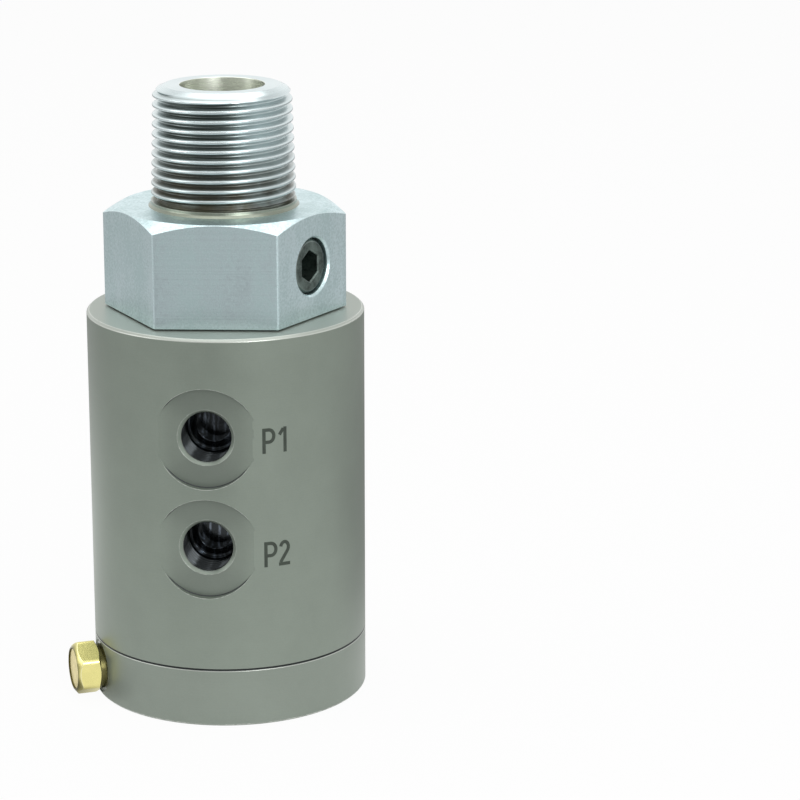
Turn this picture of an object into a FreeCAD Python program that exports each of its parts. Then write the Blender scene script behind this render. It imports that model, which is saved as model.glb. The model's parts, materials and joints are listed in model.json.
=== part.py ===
"""Hydraulic rotary union with two coaxial passages, in millimetres.

The housing stands still on its end cap. The rotor turns in it on two thin ball bearings: a hexagon
with a taper-threaded nose above, and a sealed stem inside. The upper side port feeds the annulus
round the flow tube and the side outlet in the hexagon, the lower side port feeds the flow tube and
the bore of the nose. The origin is on the axis at the cap's underside, +Z runs up to the nose, and
the side ports face -Y. Azimuths count from -Y towards +X.
"""

import FreeCAD
import Part
import math
import os
import Sketcher

# Driving sizes: name, value, what it is
SIZES = [
    ("body_od", 66.0, "outside diameter of housing and end cap"),
    ("cap_height", 14.0, "height of the end cap below the joint"),
    ("housing_length", 80.0, "length of the housing"),
    ("rim_chamfer", 0.8, "chamfer round the top of the housing"),
    ("joint_chamfer", 0.3, "fine chamfers at the joint of housing and cap"),
    ("base_chamfer", 0.4, "chamfer round the foot of the cap"),
    ("seat_fit", 0.02, "radial clearance of a piece in its seat"),
    ("running_fit", 0.05, "radial clearance of a seal lip on the turning stem"),
    ("stem_fit", 0.1, "radial clearance of the stem in the housing bore"),
    ("low_port_rise", 15.7, "height of the lower side port above the lower bearing seat"),
    ("high_port_drop", 11.8, "depth of the upper side port below the upper bearing seat"),
    ("spot_radius", 12.0, "radius of the spot face round a port"),
    ("spot_depth", 1.85, "depth of the spot face under the housing surface"),
    ("port_radius", 5.9, "wall radius of the tapped port"),
    ("port_mouth", 0.8, "countersink of the port mouth"),
    ("port_depth", 11.5, "depth of the tapped port below its spot face"),
    ("drilling_radius", 4.0, "radius of the drilling from port to ring groove"),
    ("ring_groove_depth", 1.9, "depth of the passage grooves in the bore"),
    ("ring_groove_width", 8.4, "width of the passage grooves in the bore"),
    ("seal_offset", 8.2, "distance from a port to the outer seal beside it"),
    ("seal_groove_depth", 3.65, "depth of the seal grooves in the bore"),
    ("seal_groove_width", 3.2, "width of the seal grooves"),
    ("slip_ring_thickness", 1.85, "radial thickness of a seal's slip ring"),
    ("seal_side_play", 0.1, "axial play of the rings in a seal groove"),
    ("stem_radius", 15.0, "radius of the sealed stem"),
    ("bearing_width", 7.0, "width of both ball bearings"),
    ("low_bearing_bore", 12.5, "bore radius of the lower bearing"),
    ("race_wall", 2.0, "radial wall of a bearing ring, from its bore or rim to its land"),
    ("race_land", 1.0, "distance from the ball pitch radius to the land of each ring"),
    ("race_play", 0.03, "clearance between a ball and its raceway"),
    ("race_chamfer", 0.3, "corner chamfer of the bearing rings"),
    ("ball_radius", 1.98, "radius of the bearing balls"),
    ("cage_thickness", 1.5, "radial thickness of a ball cage"),
    ("cage_height", 5.2, "height of a ball cage"),
    ("cage_play", 0.08, "clearance of a ball in its cage pocket"),
    ("shoulder_relief", 0.6, "depth of the relief that clears the turning ring"),
    ("relief_margin", 0.9, "radial reach of the relief past the land of the inner ring"),
    ("top_seat_depth", 12.0, "depth of the seat for upper bearing and dust seal"),
    ("dust_seal_height", 4.6, "height of the dust seal"),
    ("dust_seal_wall", 1.6, "wall of the dust seal's case"),
    ("dust_lip_height", 1.4, "height of the lip of the dust seal"),
    ("low_seat_depth", 14.0, "depth of the lower seat in the housing"),
    ("shoulder_step", 2.5, "step of the shaft shoulder over the stem"),
    ("hex_gap", 0.35, "running gap between housing and hexagon"),
    ("hex_af", 50.0, "hexagon across flats"),
    ("hex_height", 24.5, "height of the hexagon"),
    ("hex_inset", 0.2, "distance of the chamfer circle inside the flats"),
    ("hex_core_radius", 20.0, "radius of the turned core of the hexagon"),
    ("collar_radius", 17.2, "radius of the plain collar under the thread"),
    ("collar_height", 1.3, "height of the plain collar"),
    ("collar_root", 0.6, "size of the sloped root of the collar"),
    ("nose_length", 28.45, "length of the nose above the hexagon"),
    ("nose_base_radius", 17.14, "major radius of the taper thread at the collar"),
    ("nose_tip_radius", 13.6, "radius of the flat end of the nose"),
    ("nose_rim_radius", 15.3, "outer radius of the shallow slope round the flat end"),
    ("nose_rim_drop", 0.75, "height of the shallow slope round the flat end"),
    ("nose_tip_chamfer", 1.9, "distance from the end of the nose to the foot of its chamfer"),
    ("mouth_radius", 10.0, "radius of the bore at the mouth of the nose"),
    ("mouth_depth", 6.8, "depth of the lock ring's face below the end of the nose"),
    ("lock_ring_seat", 9.0, "radius of the lock ring's seat"),
    ("lock_ring_height", 6.0, "height of the lock ring"),
    ("lock_ring_bore", 4.4, "radius of the hole in the lock ring"),
    ("lock_slot_width", 3.0, "width of the driver slot of the lock ring"),
    ("lock_slot_depth", 2.4, "depth of the driver slot of the lock ring"),
    ("lock_slot_azimuth", -20.0, "direction of the driver slot"),
    ("tube_flange_height", 5.0, "height of the flow tube's upper flange"),
    ("tube_flange_slope", 2.1, "height of the slope under the flow tube's flange"),
    ("tube_groove_width", 2.4, "width of the O-ring grooves of the flow tube"),
    ("tube_groove_depth", 1.75, "depth of the O-ring grooves of the flow tube"),
    ("tube_radius", 5.5, "outside radius of the flow tube"),
    ("tube_bore", 4.25, "bore radius of the flow tube"),
    ("tube_collar_height", 8.0, "height of the flow tube's lower collar"),
    ("annulus_radius", 8.0, "radius of the shaft bore round the flow tube"),
    ("chamber_radius", 5.0, "radius of the lower chamber in the shaft"),
    ("chamber_above", 8.3, "reach of the lower chamber above the lower port"),
    ("chamber_below", 5.7, "reach of the lower chamber below the lower port"),
    ("cross_hole_radius", 3.0, "radius of the radial holes in the stem"),
    ("outlet_azimuth", 64.25, "azimuth of the hexagon face with the side outlet"),
    ("outlet_radius", 6.72, "wall radius of the side outlet at its mouth"),
    ("outlet_mouth", 0.5, "countersink of the side outlet"),
    ("outlet_depth", 11.0, "depth of the taper seat of the side outlet"),
    ("outlet_drilling", 4.25, "radius of the drilling behind the side outlet"),
    ("plug_recess", 0.7, "depth of the plug's face below the hexagon face"),
    ("plug_length", 10.0, "length of the socket plug"),
    ("plug_socket_af", 6.6, "hexagon socket of the plug across flats"),
    ("plug_socket_depth", 5.5, "depth of the plug's socket"),
    ("journal_chamfer", 0.8, "chamfer at the lower end of the shaft"),
    ("journal_end", 3.5, "length of the shaft end below the lower bearing"),
    ("circlip_thickness", 1.2, "thickness of the shaft circlip"),
    ("circlip_depth", 0.6, "depth of the circlip groove"),
    ("circlip_width", 3.0, "radial width of the circlip"),
    ("circlip_gap", 5.0, "width of the opening of the circlip"),
    ("circlip_lug", 1.9, "radius of the lugs of the circlip"),
    ("circlip_eye", 0.9, "radius of the plier holes of the circlip"),
    ("spigot_play", 0.05, "radial clearance of the cap's spigot in the housing"),
    ("spigot_wall", 1.85, "wall of the cap's spigot"),
    ("leak_floor", 4.5, "thickness of the cap's floor"),
    ("cap_ring_width", 2.55, "width of the cap's O-ring groove"),
    ("cap_ring_depth", 1.5, "depth of the cap's O-ring groove"),
    ("screw_azimuth", -35.0, "azimuth of the first cap screw"),
    ("screw_count", 6, "number of cap screws"),
    ("screw_radius", 2.0, "radius of a cap screw's shank"),
    ("screw_length", 16.0, "length of a cap screw's shank"),
    ("screw_head_radius", 3.5, "radius of a cap screw's head"),
    ("screw_head_height", 4.0, "height of a cap screw's head"),
    ("screw_socket_af", 3.0, "socket of a cap screw across flats"),
    ("screw_socket_depth", 2.0, "depth of a cap screw's socket"),
    ("screw_hole_play", 0.25, "radial clearance of a screw in the cap"),
    ("counterbore_radius", 3.9, "radius of the counterbores in the cap"),
    ("counterbore_depth", 4.4, "depth of the counterbores in the cap"),
    ("tapped_depth", 9.0, "depth of the tapped holes in the housing"),
    ("breather_azimuth", -65.0, "azimuth of the breather"),
    ("breather_spot_radius", 6.4, "radius of the spot face under the breather"),
    ("breather_spot_depth", 0.6, "depth of the spot face under the breather"),
    ("breather_af", 11.7, "breather hexagon across flats"),
    ("breather_collar_radius", 5.4, "radius of the round collar under the breather's hexagon"),
    ("breather_collar", 1.8, "length of the round collar under the breather's hexagon"),
    ("breather_head", 5.4, "length of the breather's hexagon"),
    ("breather_face_radius", 5.15, "radius of the flat outer end of the breather's hexagon"),
    ("breather_face_bevel", 38.0, "angle of the bevel at the outer end of the breather's hexagon"),
    ("breather_back_radius", 5.7, "radius of the flat back of the breather's hexagon"),
    ("breather_back_bevel", 30.0, "angle of the bevel at the back of the breather's hexagon"),
    ("breather_thread_radius", 4.86, "radius of the breather's thread"),
    ("breather_thread_length", 6.5, "length of the breather's thread"),
    ("breather_thread_chamfer", 0.5, "chamfer at the end of the breather's thread"),
    ("breather_hole_depth", 8.0, "depth of the breather's hole under its spot face"),
    ("breather_bore", 2.0, "radius of the vent bore"),
    ("breather_cup_radius", 4.9, "radius of the cup that holds the filter disc"),
    ("breather_cup_depth", 2.6, "depth of the cup that holds the filter disc"),
    ("disc_thickness", 2.2, "thickness of the filter disc"),
]

BALL_COUNT = 12
CROSS_HOLE_COUNT = 4
CORD_ROUNDING = 0.45
CORNER_RATIO = 1 / math.cos(math.radians(30))
THREAD_TAPER = 1 / 32
CHAMFER_SLOPE = math.tan(math.radians(30))
DRILL_SLOPE = math.tan(math.radians(31))
OVERRUN = 1.0


class Size:
    """A length or an angle: its value now, and the expression that binds it to the sheet."""

    def __init__(self, value, text, driven=True):
        self.value = float(value)
        self.text = text
        self.driven = driven

    @staticmethod
    def of(item):
        """Take a plain number as a size that nothing drives."""
        return item if isinstance(item, Size) else Size(item, repr(float(item)), driven=False)

    def __add__(self, other):
        other = Size.of(other)
        return Size(self.value + other.value, f"({self.text} + {other.text})")

    def __sub__(self, other):
        other = Size.of(other)
        return Size(self.value - other.value, f"({self.text} - {other.text})")

    def __mul__(self, other):
        other = Size.of(other)
        return Size(self.value * other.value, f"({self.text} * {other.text})")

    def __truediv__(self, other):
        other = Size.of(other)
        return Size(self.value / other.value, f"({self.text} / {other.text})")


def sine(angle):
    """Sine of an angle in degrees."""
    return Size(math.sin(math.radians(angle.value)), f"sin({angle.text})")


def cosine(angle):
    """Cosine of an angle in degrees."""
    return Size(math.cos(math.radians(angle.value)), f"cos({angle.text})")


def write_sheet(document):
    """Put the driving sizes into the spreadsheet and give each its alias."""
    table = document.addObject("Spreadsheet::Sheet", "Sizes")
    named = {}
    for row, (alias, value, note) in enumerate(SIZES, start=1):
        table.set(f"A{row}", note)
        table.set(f"B{row}", str(value))
        table.setAlias(f"B{row}", alias)
        named[alias] = Size(value, f"Sizes.{alias}")
    return type("Sheet", (), named)


doc = FreeCAD.newDocument("rotary_union")
S = write_sheet(doc)
doc.recompute()

# Levels on the axis
joint_z = S.cap_height
housing_top = joint_z + S.housing_length
hex_bottom = housing_top + S.hex_gap
hex_top = hex_bottom + S.hex_height
nose_top = hex_top + S.nose_length
outlet_z = hex_bottom + S.hex_height / 2
top_seat_z = housing_top - S.top_seat_depth
top_bearing_top = top_seat_z + S.bearing_width
low_seat_top = joint_z + S.low_seat_depth
low_port_z = low_seat_top + S.low_port_rise
high_port_z = top_seat_z - S.high_port_drop
low_bearing_bottom = low_seat_top - S.bearing_width
shaft_bottom = low_bearing_bottom - S.journal_end
lock_ring_top = nose_top - S.mouth_depth
lock_ring_bottom = lock_ring_top - S.lock_ring_height
flange_bottom = lock_ring_bottom - S.tube_flange_height
tube_bottom = low_port_z + S.chamber_above
chamber_bottom = low_port_z - S.chamber_below

# Radii and distances from the axis
body_radius = S.body_od / 2
spot_plane = body_radius - S.spot_depth
hex_face = S.hex_af / 2
bore_radius = S.stem_radius + S.stem_fit
shoulder_radius = S.stem_radius + S.shoulder_step
top_bearing_pitch = S.stem_radius + S.race_wall + S.race_land
top_bearing_outer = top_bearing_pitch + S.race_land + S.race_wall
low_bearing_pitch = S.low_bearing_bore + S.race_wall + S.race_land
low_bearing_outer = low_bearing_pitch + S.race_land + S.race_wall
ring_groove_radius = bore_radius + S.ring_groove_depth
seal_groove_radius = bore_radius + S.seal_groove_depth
spigot_radius = low_bearing_outer - S.spigot_play
leak_chamber_radius = spigot_radius - S.spigot_wall
cap_groove_radius = spigot_radius + S.cap_ring_width
screw_circle = (cap_groove_radius + body_radius) / 2
breather_seat = body_radius - S.breather_spot_depth
breather_back = breather_seat + S.breather_collar
breather_end = breather_back + S.breather_head
breather_z = S.cap_height / 2


def bind(item, path, size):
    """Bind one property to the sheet."""
    item.setExpression(path, Size.of(size).text)


def origin_plane(body, role):
    """The body's own origin plane of that role."""
    return next(part for part in body.Origin.OriginFeatures if part.Role == role)


def new_body(name):
    """A body whose label is the name of the piece."""
    body = doc.addObject("PartDesign::Body", name)
    body.Label = name
    body.AllowCompound = True
    return body


def new_sketch(body, name, role, base=(0, 0, 0), turn_axis=None, turn=None):
    """A sketch on an origin plane, moved by base and turned about one of the plane's own axes."""
    sketch = body.newObject("Sketcher::SketchObject", name)
    sketch.AttachmentSupport = (origin_plane(body, role), [""])
    sketch.MapMode = "FlatFace"
    base = [Size.of(part) for part in base]
    place = FreeCAD.Placement()
    place.Base = FreeCAD.Vector(*[part.value for part in base])
    if turn_axis:
        place.Rotation = FreeCAD.Rotation(FreeCAD.Vector(*turn_axis), turn.value)
    sketch.AttachmentOffset = place
    for letter, part in zip("xyz", base):
        if part.driven:
            bind(sketch, f"AttachmentOffset.Base.{letter}", part)
    if turn_axis:
        bind(sketch, "AttachmentOffset.Rotation.Angle", turn)
    return sketch


def axial_sketch(body, name):
    """A sketch of radius across and height up, for a piece turned about the main axis."""
    return new_sketch(body, name, "XZ_Plane")


def radial_sketch(body, name, azimuth, height):
    """A sketch of distance from the axis across and radius up, for a piece turned about a radial line."""
    return new_sketch(body, name, "XZ_Plane", (0, height, 0), (0, 1, 0), azimuth - 90)


def facing_sketch(body, name, azimuth, distance, height):
    """A sketch that faces outwards at an azimuth, a distance from the axis and a height."""
    base = (distance * sine(azimuth), height, distance * cosine(azimuth))
    return new_sketch(body, name, "XZ_Plane", base, (0, 1, 0), azimuth)


def level_sketch(body, name, height, azimuth=None):
    """A level sketch at a height, its first axis at the azimuth."""
    if azimuth is None:
        return new_sketch(body, name, "XY_Plane", (0, 0, height))
    return new_sketch(body, name, "XY_Plane", (0, 0, height), (0, 0, 1), azimuth - 90)


def draw_outline(sketch, points):
    """Draw a closed outline whose every corner is held by two bound distances from the origin."""
    corners = [(Size.of(across), Size.of(up)) for across, up in points]
    vectors = [FreeCAD.Vector(across.value, up.value, 0) for across, up in corners]
    count = len(vectors)
    lines = [Part.LineSegment(vectors[i], vectors[(i + 1) % count]) for i in range(count)]
    sketch.addGeometry(lines, False)
    rules = [Sketcher.Constraint("Coincident", i, 2, (i + 1) % count, 1) for i in range(count)]
    bound = []
    for i, (across, up) in enumerate(corners):
        for kind, axis, size in (("DistanceX", -2, across), ("DistanceY", -1, up)):
            if size.value == 0:
                rules.append(Sketcher.Constraint("PointOnObject", i, 1, axis))
                continue
            bound.append((len(rules), size))
            rules.append(Sketcher.Constraint(kind, -1, 1, i, 1, size.value))
    sketch.addConstraint(rules)
    for index, size in bound:
        bind(sketch, f"Constraints[{index}]", size)


def draw_circle(sketch, radius, across=0):
    """Draw a circle on the sketch's first axis."""
    radius = Size.of(radius)
    across = Size.of(across)
    centre = FreeCAD.Vector(across.value, 0, 0)
    index = sketch.addGeometry(Part.Circle(centre, FreeCAD.Vector(0, 0, 1), radius.value), False)
    if across.value == 0:
        sketch.addConstraint(Sketcher.Constraint("Coincident", index, 3, -1, 1))
    else:
        sketch.addConstraint(Sketcher.Constraint("PointOnObject", index, 3, -1))
        place = sketch.addConstraint(Sketcher.Constraint("DistanceX", -1, 1, index, 3, across.value))
        bind(sketch, f"Constraints[{place}]", across)
    size = sketch.addConstraint(Sketcher.Constraint("Radius", index, radius.value))
    bind(sketch, f"Constraints[{size}]", radius)


def draw_hexagon(sketch, across_flats, across=0, corner_up=False):
    """Draw a hexagon on a construction circle, a corner on the first axis or straight up."""
    reach = across_flats / 2 * CORNER_RATIO
    across = Size.of(across)
    start = 90 if corner_up else 0
    angles = [math.radians(start + 60 * i) for i in range(6)]
    corners = [
        FreeCAD.Vector(across.value + reach.value * math.cos(a), reach.value * math.sin(a), 0)
        for a in angles
    ]
    lines = [Part.LineSegment(corners[i], corners[(i + 1) % 6]) for i in range(6)]
    first = sketch.GeometryCount
    sketch.addGeometry(lines, False)
    centre = FreeCAD.Vector(across.value, 0, 0)
    guide = sketch.addGeometry(Part.Circle(centre, FreeCAD.Vector(0, 0, 1), reach.value), True)
    rules = [
        Sketcher.Constraint("Coincident", first + i, 2, first + (i + 1) % 6, 1) for i in range(6)
    ]
    rules += [Sketcher.Constraint("PointOnObject", first + i, 1, guide) for i in range(6)]
    rules += [Sketcher.Constraint("Equal", first, first + i) for i in range(1, 6)]
    if across.value == 0:
        rules.append(Sketcher.Constraint("Coincident", guide, 3, -1, 1))
        rules.append(Sketcher.Constraint("PointOnObject", first, 1, -2 if corner_up else -1))
    else:
        rules.append(Sketcher.Constraint("PointOnObject", guide, 3, -1))
        rules.append(Sketcher.Constraint("PointOnObject", first, 1, -1))
    sketch.addConstraint(rules)
    if across.value != 0:
        place = sketch.addConstraint(Sketcher.Constraint("DistanceX", -1, 1, guide, 3, across.value))
        bind(sketch, f"Constraints[{place}]", across)
    size = sketch.addConstraint(Sketcher.Constraint("Radius", guide, reach.value))
    bind(sketch, f"Constraints[{size}]", reach)


def turned(body, kind, sketch, axis="V_Axis"):
    """A full revolution or groove of a sketch about one of its own axes."""
    feature = body.newObject(f"PartDesign::{kind}", f"{sketch.Name}_{kind.lower()}")
    feature.Profile = sketch
    feature.ReferenceAxis = (sketch, [axis])
    feature.Angle = 360
    return feature


def padded(body, sketch, height, reverse=False):
    """A pad of a sketch."""
    pad = body.newObject("PartDesign::Pad", f"{sketch.Name}_pad")
    pad.Profile = sketch
    bind(pad, "Length", height)
    pad.Reversed = reverse
    return pad


def pocketed(body, sketch, depth, reverse=False):
    """A pocket that runs against the sketch's normal, or along it where reverse is set."""
    pocket = body.newObject("PartDesign::Pocket", f"{sketch.Name}_pocket")
    pocket.Profile = sketch
    bind(pocket, "Length", depth)
    pocket.Reversed = reverse
    return pocket


def patterned(body, features, sketch, axis, count):
    """Repeat features evenly about an axis of a sketch."""
    pattern = body.newObject("PartDesign::PolarPattern", f"{features[0].Name}_pattern")
    pattern.Originals = features
    pattern.Axis = (sketch, [axis])
    pattern.Angle = 360
    if isinstance(count, Size):
        pattern.Occurrences = int(count.value)
        bind(pattern, "Occurrences", count)
    else:
        pattern.Occurrences = count
    body.Tip = pattern
    return pattern


def circular_edges(feature):
    """A feature and the names of all its circular edges, as a fillet or chamfer takes them."""
    doc.recompute()
    edges = feature.Shape.Edges
    names = [f"Edge{i}" for i, edge in enumerate(edges, start=1) if isinstance(edge.Curve, Part.Circle)]
    return feature, names


def rounded(body, feature, radius):
    """Round every circular edge of a feature."""
    fillet = body.newObject("PartDesign::Fillet", f"{feature.Name}_fillet")
    fillet.Base = circular_edges(feature)
    bind(fillet, "Radius", radius)
    return fillet


def ring(name, inner, outer, bottom, top, rounding=None):
    """A plain ring turned about the main axis, with its edges rounded where a radius is given."""
    body = new_body(name)
    sketch = axial_sketch(body, f"{name}_section")
    draw_outline(sketch, [(inner, bottom), (outer, bottom), (outer, top), (inner, top)])
    turning = turned(body, "Revolution", sketch)
    if rounding is not None:
        rounded(body, turning, rounding)
    return body


# Fixed parts


def seal_levels():
    """Middle heights of the three seals of the stem, by name."""
    return {
        "top": high_port_z + S.seal_offset,
        "middle": (low_port_z + high_port_z) / 2,
        "bottom": low_port_z - S.seal_offset,
    }


def make_housing():
    """Cylindrical housing with its stepped bore, side ports and tapped holes."""
    body = new_body("housing")
    half_seal = S.seal_groove_width / 2
    half_ring = S.ring_groove_width / 2
    top_relief = top_bearing_pitch - S.race_land + S.relief_margin
    low_relief = low_bearing_pitch - S.race_land + S.relief_margin
    bore = [
        (low_bearing_outer, joint_z),
        (low_bearing_outer, low_seat_top),
        (low_relief, low_seat_top),
        (low_relief, low_seat_top + S.shoulder_relief),
        (bore_radius, low_seat_top + S.shoulder_relief),
    ]
    seals = seal_levels()
    grooves = [
        (seals["bottom"], half_seal, seal_groove_radius),
        (low_port_z, half_ring, ring_groove_radius),
        (seals["middle"], half_seal, seal_groove_radius),
        (high_port_z, half_ring, ring_groove_radius),
        (seals["top"], half_seal, seal_groove_radius),
    ]
    for level, half, radius in grooves:
        bore += [
            (bore_radius, level - half),
            (radius, level - half),
            (radius, level + half),
            (bore_radius, level + half),
        ]
    bore += [
        (bore_radius, top_seat_z - S.shoulder_relief),
        (top_relief, top_seat_z - S.shoulder_relief),
        (top_relief, top_seat_z),
        (top_bearing_outer, top_seat_z),
        (top_bearing_outer, housing_top),
    ]
    shell = [
        (body_radius - S.rim_chamfer, housing_top),
        (body_radius, housing_top - S.rim_chamfer),
        (body_radius, joint_z + S.joint_chamfer),
        (body_radius - S.joint_chamfer, joint_z),
    ]
    section = axial_sketch(body, "housing_section")
    draw_outline(section, bore + shell)
    turned(body, "Revolution", section)

    azimuth = Size.of(0)
    for name, level in (("high_port", high_port_z), ("low_port", low_port_z)):
        port = radial_sketch(body, name, azimuth, level)
        port_floor = spot_plane - S.port_depth
        draw_outline(port, [
            (bore_radius, 0),
            (bore_radius, S.drilling_radius),
            (port_floor, S.drilling_radius),
            (port_floor, S.port_radius),
            (spot_plane - S.port_mouth, S.port_radius),
            (spot_plane, S.port_radius + S.port_mouth),
            (spot_plane, S.spot_radius),
            (body_radius + OVERRUN, S.spot_radius),
            (body_radius + OVERRUN, 0),
        ])
        turned(body, "Groove", port, "H_Axis")

    hole = level_sketch(body, "tapped_hole", joint_z, S.screw_azimuth)
    draw_circle(hole, S.screw_radius + S.seat_fit, screw_circle)
    tapped = pocketed(body, hole, S.tapped_depth, reverse=True)
    patterned(body, [tapped], hole, "N_Axis", S.screw_count)
    return body


def make_end_cap():
    """End cap with spigot, leak chamber, O-ring groove, screw holes and breather hole."""
    body = new_body("end_cap")
    section = axial_sketch(body, "cap_section")
    draw_outline(section, [
        (0, 0),
        (body_radius - S.base_chamfer, 0),
        (body_radius, S.base_chamfer),
        (body_radius, joint_z - S.joint_chamfer),
        (body_radius - S.joint_chamfer, joint_z),
        (cap_groove_radius, joint_z),
        (cap_groove_radius, joint_z - S.cap_ring_depth),
        (spigot_radius, joint_z - S.cap_ring_depth),
        (spigot_radius, low_bearing_bottom),
        (leak_chamber_radius, low_bearing_bottom),
        (leak_chamber_radius, S.leak_floor),
        (0, S.leak_floor),
    ])
    turned(body, "Revolution", section)

    counterbore = level_sketch(body, "counterbore", 0, S.screw_azimuth)
    draw_circle(counterbore, S.counterbore_radius, screw_circle)
    wide = pocketed(body, counterbore, S.counterbore_depth, reverse=True)
    clearance = level_sketch(body, "clearance_hole", 0, S.screw_azimuth)
    draw_circle(clearance, S.screw_radius + S.screw_hole_play, screw_circle)
    narrow = pocketed(body, clearance, S.cap_height, reverse=True)
    patterned(body, [wide, narrow], clearance, "N_Axis", S.screw_count)

    vent = radial_sketch(body, "breather_hole", S.breather_azimuth, breather_z)
    hole_floor = breather_seat - S.breather_hole_depth
    chamber_wall = leak_chamber_radius - OVERRUN
    draw_outline(vent, [
        (chamber_wall, 0),
        (chamber_wall, S.breather_bore),
        (hole_floor, S.breather_bore),
        (hole_floor, S.breather_thread_radius + S.seat_fit),
        (breather_seat, S.breather_thread_radius + S.seat_fit),
        (breather_seat, S.breather_spot_radius),
        (body_radius + OVERRUN, S.breather_spot_radius),
        (body_radius + OVERRUN, 0),
    ])
    turned(body, "Groove", vent, "H_Axis")
    return body


def make_cap_screws():
    """Socket head screws that hold the cap, one turned screw repeated round the circle."""
    body = new_body("cap_screws")
    head_seat = S.counterbore_depth
    head = level_sketch(body, "screw_head", head_seat, S.screw_azimuth)
    draw_circle(head, S.screw_head_radius, screw_circle)
    head_pad = padded(body, head, S.screw_head_height, reverse=True)
    shank = level_sketch(body, "screw_shank", head_seat, S.screw_azimuth)
    draw_circle(shank, S.screw_radius, screw_circle)
    shank_pad = padded(body, shank, S.screw_length)
    socket = level_sketch(body, "screw_socket", head_seat - S.screw_head_height, S.screw_azimuth)
    draw_hexagon(socket, S.screw_socket_af, screw_circle)
    socket_pocket = pocketed(body, socket, S.screw_socket_depth, reverse=True)
    patterned(body, [head_pad, shank_pad, socket_pocket], shank, "N_Axis", S.screw_count)
    return body


def make_seal(name, level):
    """Slip ring on the stem and the O-ring that presses it, in one groove of the housing."""
    half = S.seal_groove_width / 2 - S.seal_side_play
    slip_inner = S.stem_radius + S.running_fit
    slip_outer = slip_inner + S.slip_ring_thickness
    slip = ring(f"slip_ring_{name}", slip_inner, slip_outer, level - half, level + half)
    outer = seal_groove_radius - S.seat_fit
    inner = slip_outer + S.seat_fit
    energiser = ring(
        f"energiser_{name}", inner, outer, level - half, level + half, (outer - inner) * CORD_ROUNDING
    )
    return [slip, energiser]


def make_dust_seal():
    """Wiper with a pressed case and a lip on the shaft shoulder."""
    body = new_body("dust_seal")
    case_outer = top_bearing_outer - S.seat_fit
    case_inner = case_outer - S.dust_seal_wall
    lip = shoulder_radius + S.running_fit
    top = top_bearing_top + S.dust_seal_height
    section = axial_sketch(body, "dust_seal_section")
    draw_outline(section, [
        (case_outer, top_bearing_top),
        (case_outer, top),
        (lip + S.dust_lip_height / 2, top),
        (lip, top - S.dust_lip_height / 2),
        (lip + S.dust_lip_height / 4, top - S.dust_lip_height),
        (case_inner, top - S.dust_lip_height),
        (case_inner, top_bearing_top),
    ])
    turned(body, "Revolution", section)
    return body


def cylinder(name, radius, height, base):
    """A bound cylinder that stands at a base level."""
    item = doc.addObject("Part::Cylinder", name)
    bind(item, "Radius", radius)
    bind(item, "Height", height)
    bind(item, "Placement.Base.z", base)
    return item


def difference(name, base, tool):
    """One solid less another."""
    item = doc.addObject("Part::Cut", name)
    item.Base = base
    item.Tool = tool
    return item


def union(name, items):
    """Several solids joined."""
    item = doc.addObject("Part::MultiFuse", name)
    item.Shapes = items
    return item


def make_race(name, inner, outer, pitch, bottom):
    """Bearing ring with chamfered corners and a raceway round the ball circle."""
    body = ring(name, inner, outer, bottom, bottom + S.bearing_width)
    blank_edges = circular_edges(body.Tip)
    corners = body.newObject("PartDesign::Chamfer", f"{name}_corners")
    corners.Base = blank_edges
    bind(corners, "Size", S.race_chamfer)
    track = new_sketch(body, f"{name}_track", "XZ_Plane", (0, bottom + S.bearing_width / 2, 0))
    draw_circle(track, S.ball_radius + S.race_play, pitch)
    turned(body, "Groove", track)
    return body


def make_balls(name, pitch, level):
    """Ball complement of one bearing, evenly spaced from azimuth zero."""
    balls = []
    for i in range(BALL_COUNT):
        ball = doc.addObject("Part::Sphere", f"{name}_{i + 1}")
        angle = math.radians(360 / BALL_COUNT * i)
        bind(ball, "Radius", S.ball_radius)
        bind(ball, "Placement.Base.x", pitch * math.sin(angle))
        bind(ball, "Placement.Base.y", pitch * -math.cos(angle))
        bind(ball, "Placement.Base.z", level)
        balls.append(ball)
    complement = doc.addObject("Part::Compound", name)
    complement.Links = balls
    complement.Label = name
    return complement


def make_cage(name, pitch, level):
    """Cage ring with one drilled pocket for each ball."""
    half_wall = S.cage_thickness / 2
    half_height = S.cage_height / 2
    body = ring(name, pitch - half_wall, pitch + half_wall, level - half_height, level + half_height)
    hole = facing_sketch(body, f"{name}_pocket", Size.of(0), pitch + S.cage_thickness, level)
    draw_circle(hole, S.ball_radius + S.cage_play)
    pocket = pocketed(body, hole, S.cage_thickness * 2)
    main = axial_sketch(body, f"{name}_axis")
    patterned(body, [pocket], main, "V_Axis", BALL_COUNT)
    return body


def make_bearing(name, bore, outer, pitch, bottom):
    """Both rings, the cage and the balls of one bearing."""
    level = bottom + S.bearing_width / 2
    return [
        make_race(f"{name}_inner_ring", bore + S.seat_fit, pitch - S.race_land, pitch, bottom),
        make_race(f"{name}_outer_ring", pitch + S.race_land, outer - S.seat_fit, pitch, bottom),
        make_cage(f"{name}_cage", pitch, level),
        make_balls(f"{name}_balls", pitch, level),
    ]


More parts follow.
